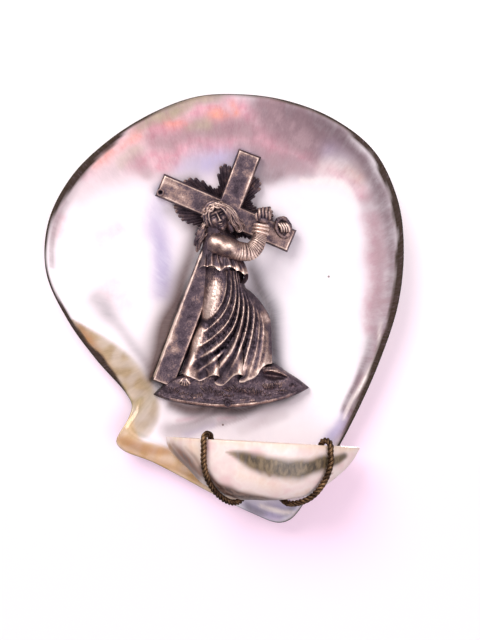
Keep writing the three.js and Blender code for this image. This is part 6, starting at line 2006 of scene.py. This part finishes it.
# %% [markdown]
# ## Stage, light and camera
# The font lies on a pale sheet, as for a catalogue picture, and the camera looks straight at it. One large
# soft light hangs to the upper left, and weaker ones fill the rest. The sheet is see-through from behind,
# so that the font's back can be looked at too.

# %% The backdrop
PAPER_PAINTED_LIGHT, SHEET_HALF, SHEET_BEHIND = 0.18, 1.2, 0.4 * MM


def stage_material():
    material, tree = new_material("paper_white_matt")
    place = add_node(tree, "TexCoord").outputs["Object"]
    pulp = add_node(tree, "TexNoise", {"Vector": place, "Scale": 1 / (60 * MM), "Detail": 2})
    height = add_node(tree, "SeparateXYZ", {"Vector": place}).outputs["Z"]
    # Pinker and darker towards the bottom of the sheet: painted shade, where less light reaches it
    low = add_node(tree, "MapRange", {"Value": height, "From Min": -0.01, "From Max": -0.12})
    white = add_node(tree, "Mix", {MIX_FACTOR: pulp, MIX_A: "#fdf6fa", MIX_B: "#fffafc"}, data_type="RGBA")
    colour = add_node(tree, "Mix", {MIX_FACTOR: low, MIX_A: white, MIX_B: "#f1d9ea"}, data_type="RGBA")
    # The paper glows a little, painted light that keeps its shadows pale
    painted_light = add_node(tree, "Emission", {"Color": colour, "Strength": PAPER_PAINTED_LIGHT})
    lit = add_node(tree, "BsdfDiffuse", {"Color": colour})
    paper = add_node(tree, "AddShader", {0: painted_light, 1: lit})
    clear = add_node(tree, "BsdfTransparent")
    behind = add_node(tree, "NewGeometry").outputs["Backfacing"]
    shader = add_node(tree, "MixShader", {0: behind, 1: paper, 2: clear})
    add_node(tree, "OutputMaterial", {"Surface": shader})
    return material


def backdrop():
    bm = bmesh.new()
    upright = Matrix.Rotation(math.pi / 2, 4, "X")
    bmesh.ops.create_grid(bm, x_segments=2, y_segments=2, size=SHEET_HALF, matrix=upright)
    bmesh.ops.translate(bm, verts=bm.verts, vec=(0, SHEET_BEHIND, 0))
    mesh = mesh_of(bm, "backdrop")
    obj = add_object("backdrop", mesh)
    mesh.materials.append(stage_material())
    obj.visible_shadow = obj.visible_diffuse = obj.visible_glossy = False
    obj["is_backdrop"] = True
    return obj


sheet = backdrop()
print("backdrop faces the viewer:", sheet.data.polygons[0].normal.y < 0)

# %% Lights
def area_light(name, place, aim, size, power, colour):
    light = bpy.data.lights.new(name, "AREA")
    light.shape, light.size, light.energy, light.color = "DISK", size, power, linear(colour)[:3]
    obj = add_object(name, light)
    obj.location = place
    obj.rotation_mode = "QUATERNION"
    obj.rotation_quaternion = (Vector(aim) - Vector(place)).to_track_quat("-Z", "Y")


FONT_MIDDLE = (0, -0.01, -0.06)
area_light("window", (-0.5, -0.9, 0.6), FONT_MIDDLE, 0.8, 12.5, "#fffaf8")
area_light("fill_front", (0.45, -1.2, -0.3), FONT_MIDDLE, 1.2, 5, "#fdf8ff")
area_light("fill_low", (0.5, -0.7, -0.7), FONT_MIDDLE, 1.0, 4, "#fff6fb")
area_light("behind", (0.3, 0.9, 0.3), FONT_MIDDLE, 0.6, 8, "#ffffff")

world = bpy.data.worlds.new("studio")
bpy.context.scene.world = world
world.use_nodes = True
tree = world.node_tree
tree.nodes.clear()
seen = add_node(tree, "LightPath").outputs["Is Camera Ray"]
light = add_node(tree, "Background", {"Color": "#fdf6fa", "Strength": 0.4})
plain = add_node(tree, "Background", {"Color": "#fdf7fb", "Strength": 0.9})
mixed = add_node(tree, "MixShader", {0: seen, 1: light, 2: plain})
add_node(tree, "OutputWorld", {"Surface": mixed})
bpy.context.scene.view_settings.view_transform = "Standard"

# %% Camera
CAMERA_U, CAMERA_W, CAMERA_H = 4.5, -7.5, 612
SEEN_HEIGHT, SEEN_AT = 240, 600

camera = bpy.data.cameras.new("camera")
camera.sensor_width = 36
camera.lens = camera.sensor_width * SEEN_AT / SEEN_HEIGHT
camera.clip_start, camera.clip_end = 0.01, 20
view = add_object("camera", camera)
view.location = from_valve(CAMERA_U, CAMERA_W, CAMERA_H)
view.rotation_euler = (math.pi / 2, 0, 0)
bpy.context.scene.camera = view
print("camera at", [round(value, 4) for value in view.location], "lens", camera.lens)

# %% [markdown]
# ## Print the size
# The visual pieces are meant to keep the object's dimensions, so the two boxes are printed.

# %% Print the boxes
made_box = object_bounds()
for name, box in (("CAD", cad_box), ("visual", made_box)):
    print(name, "box, mm:", [[round(value / MM, 2) for value in corner] for corner in box])
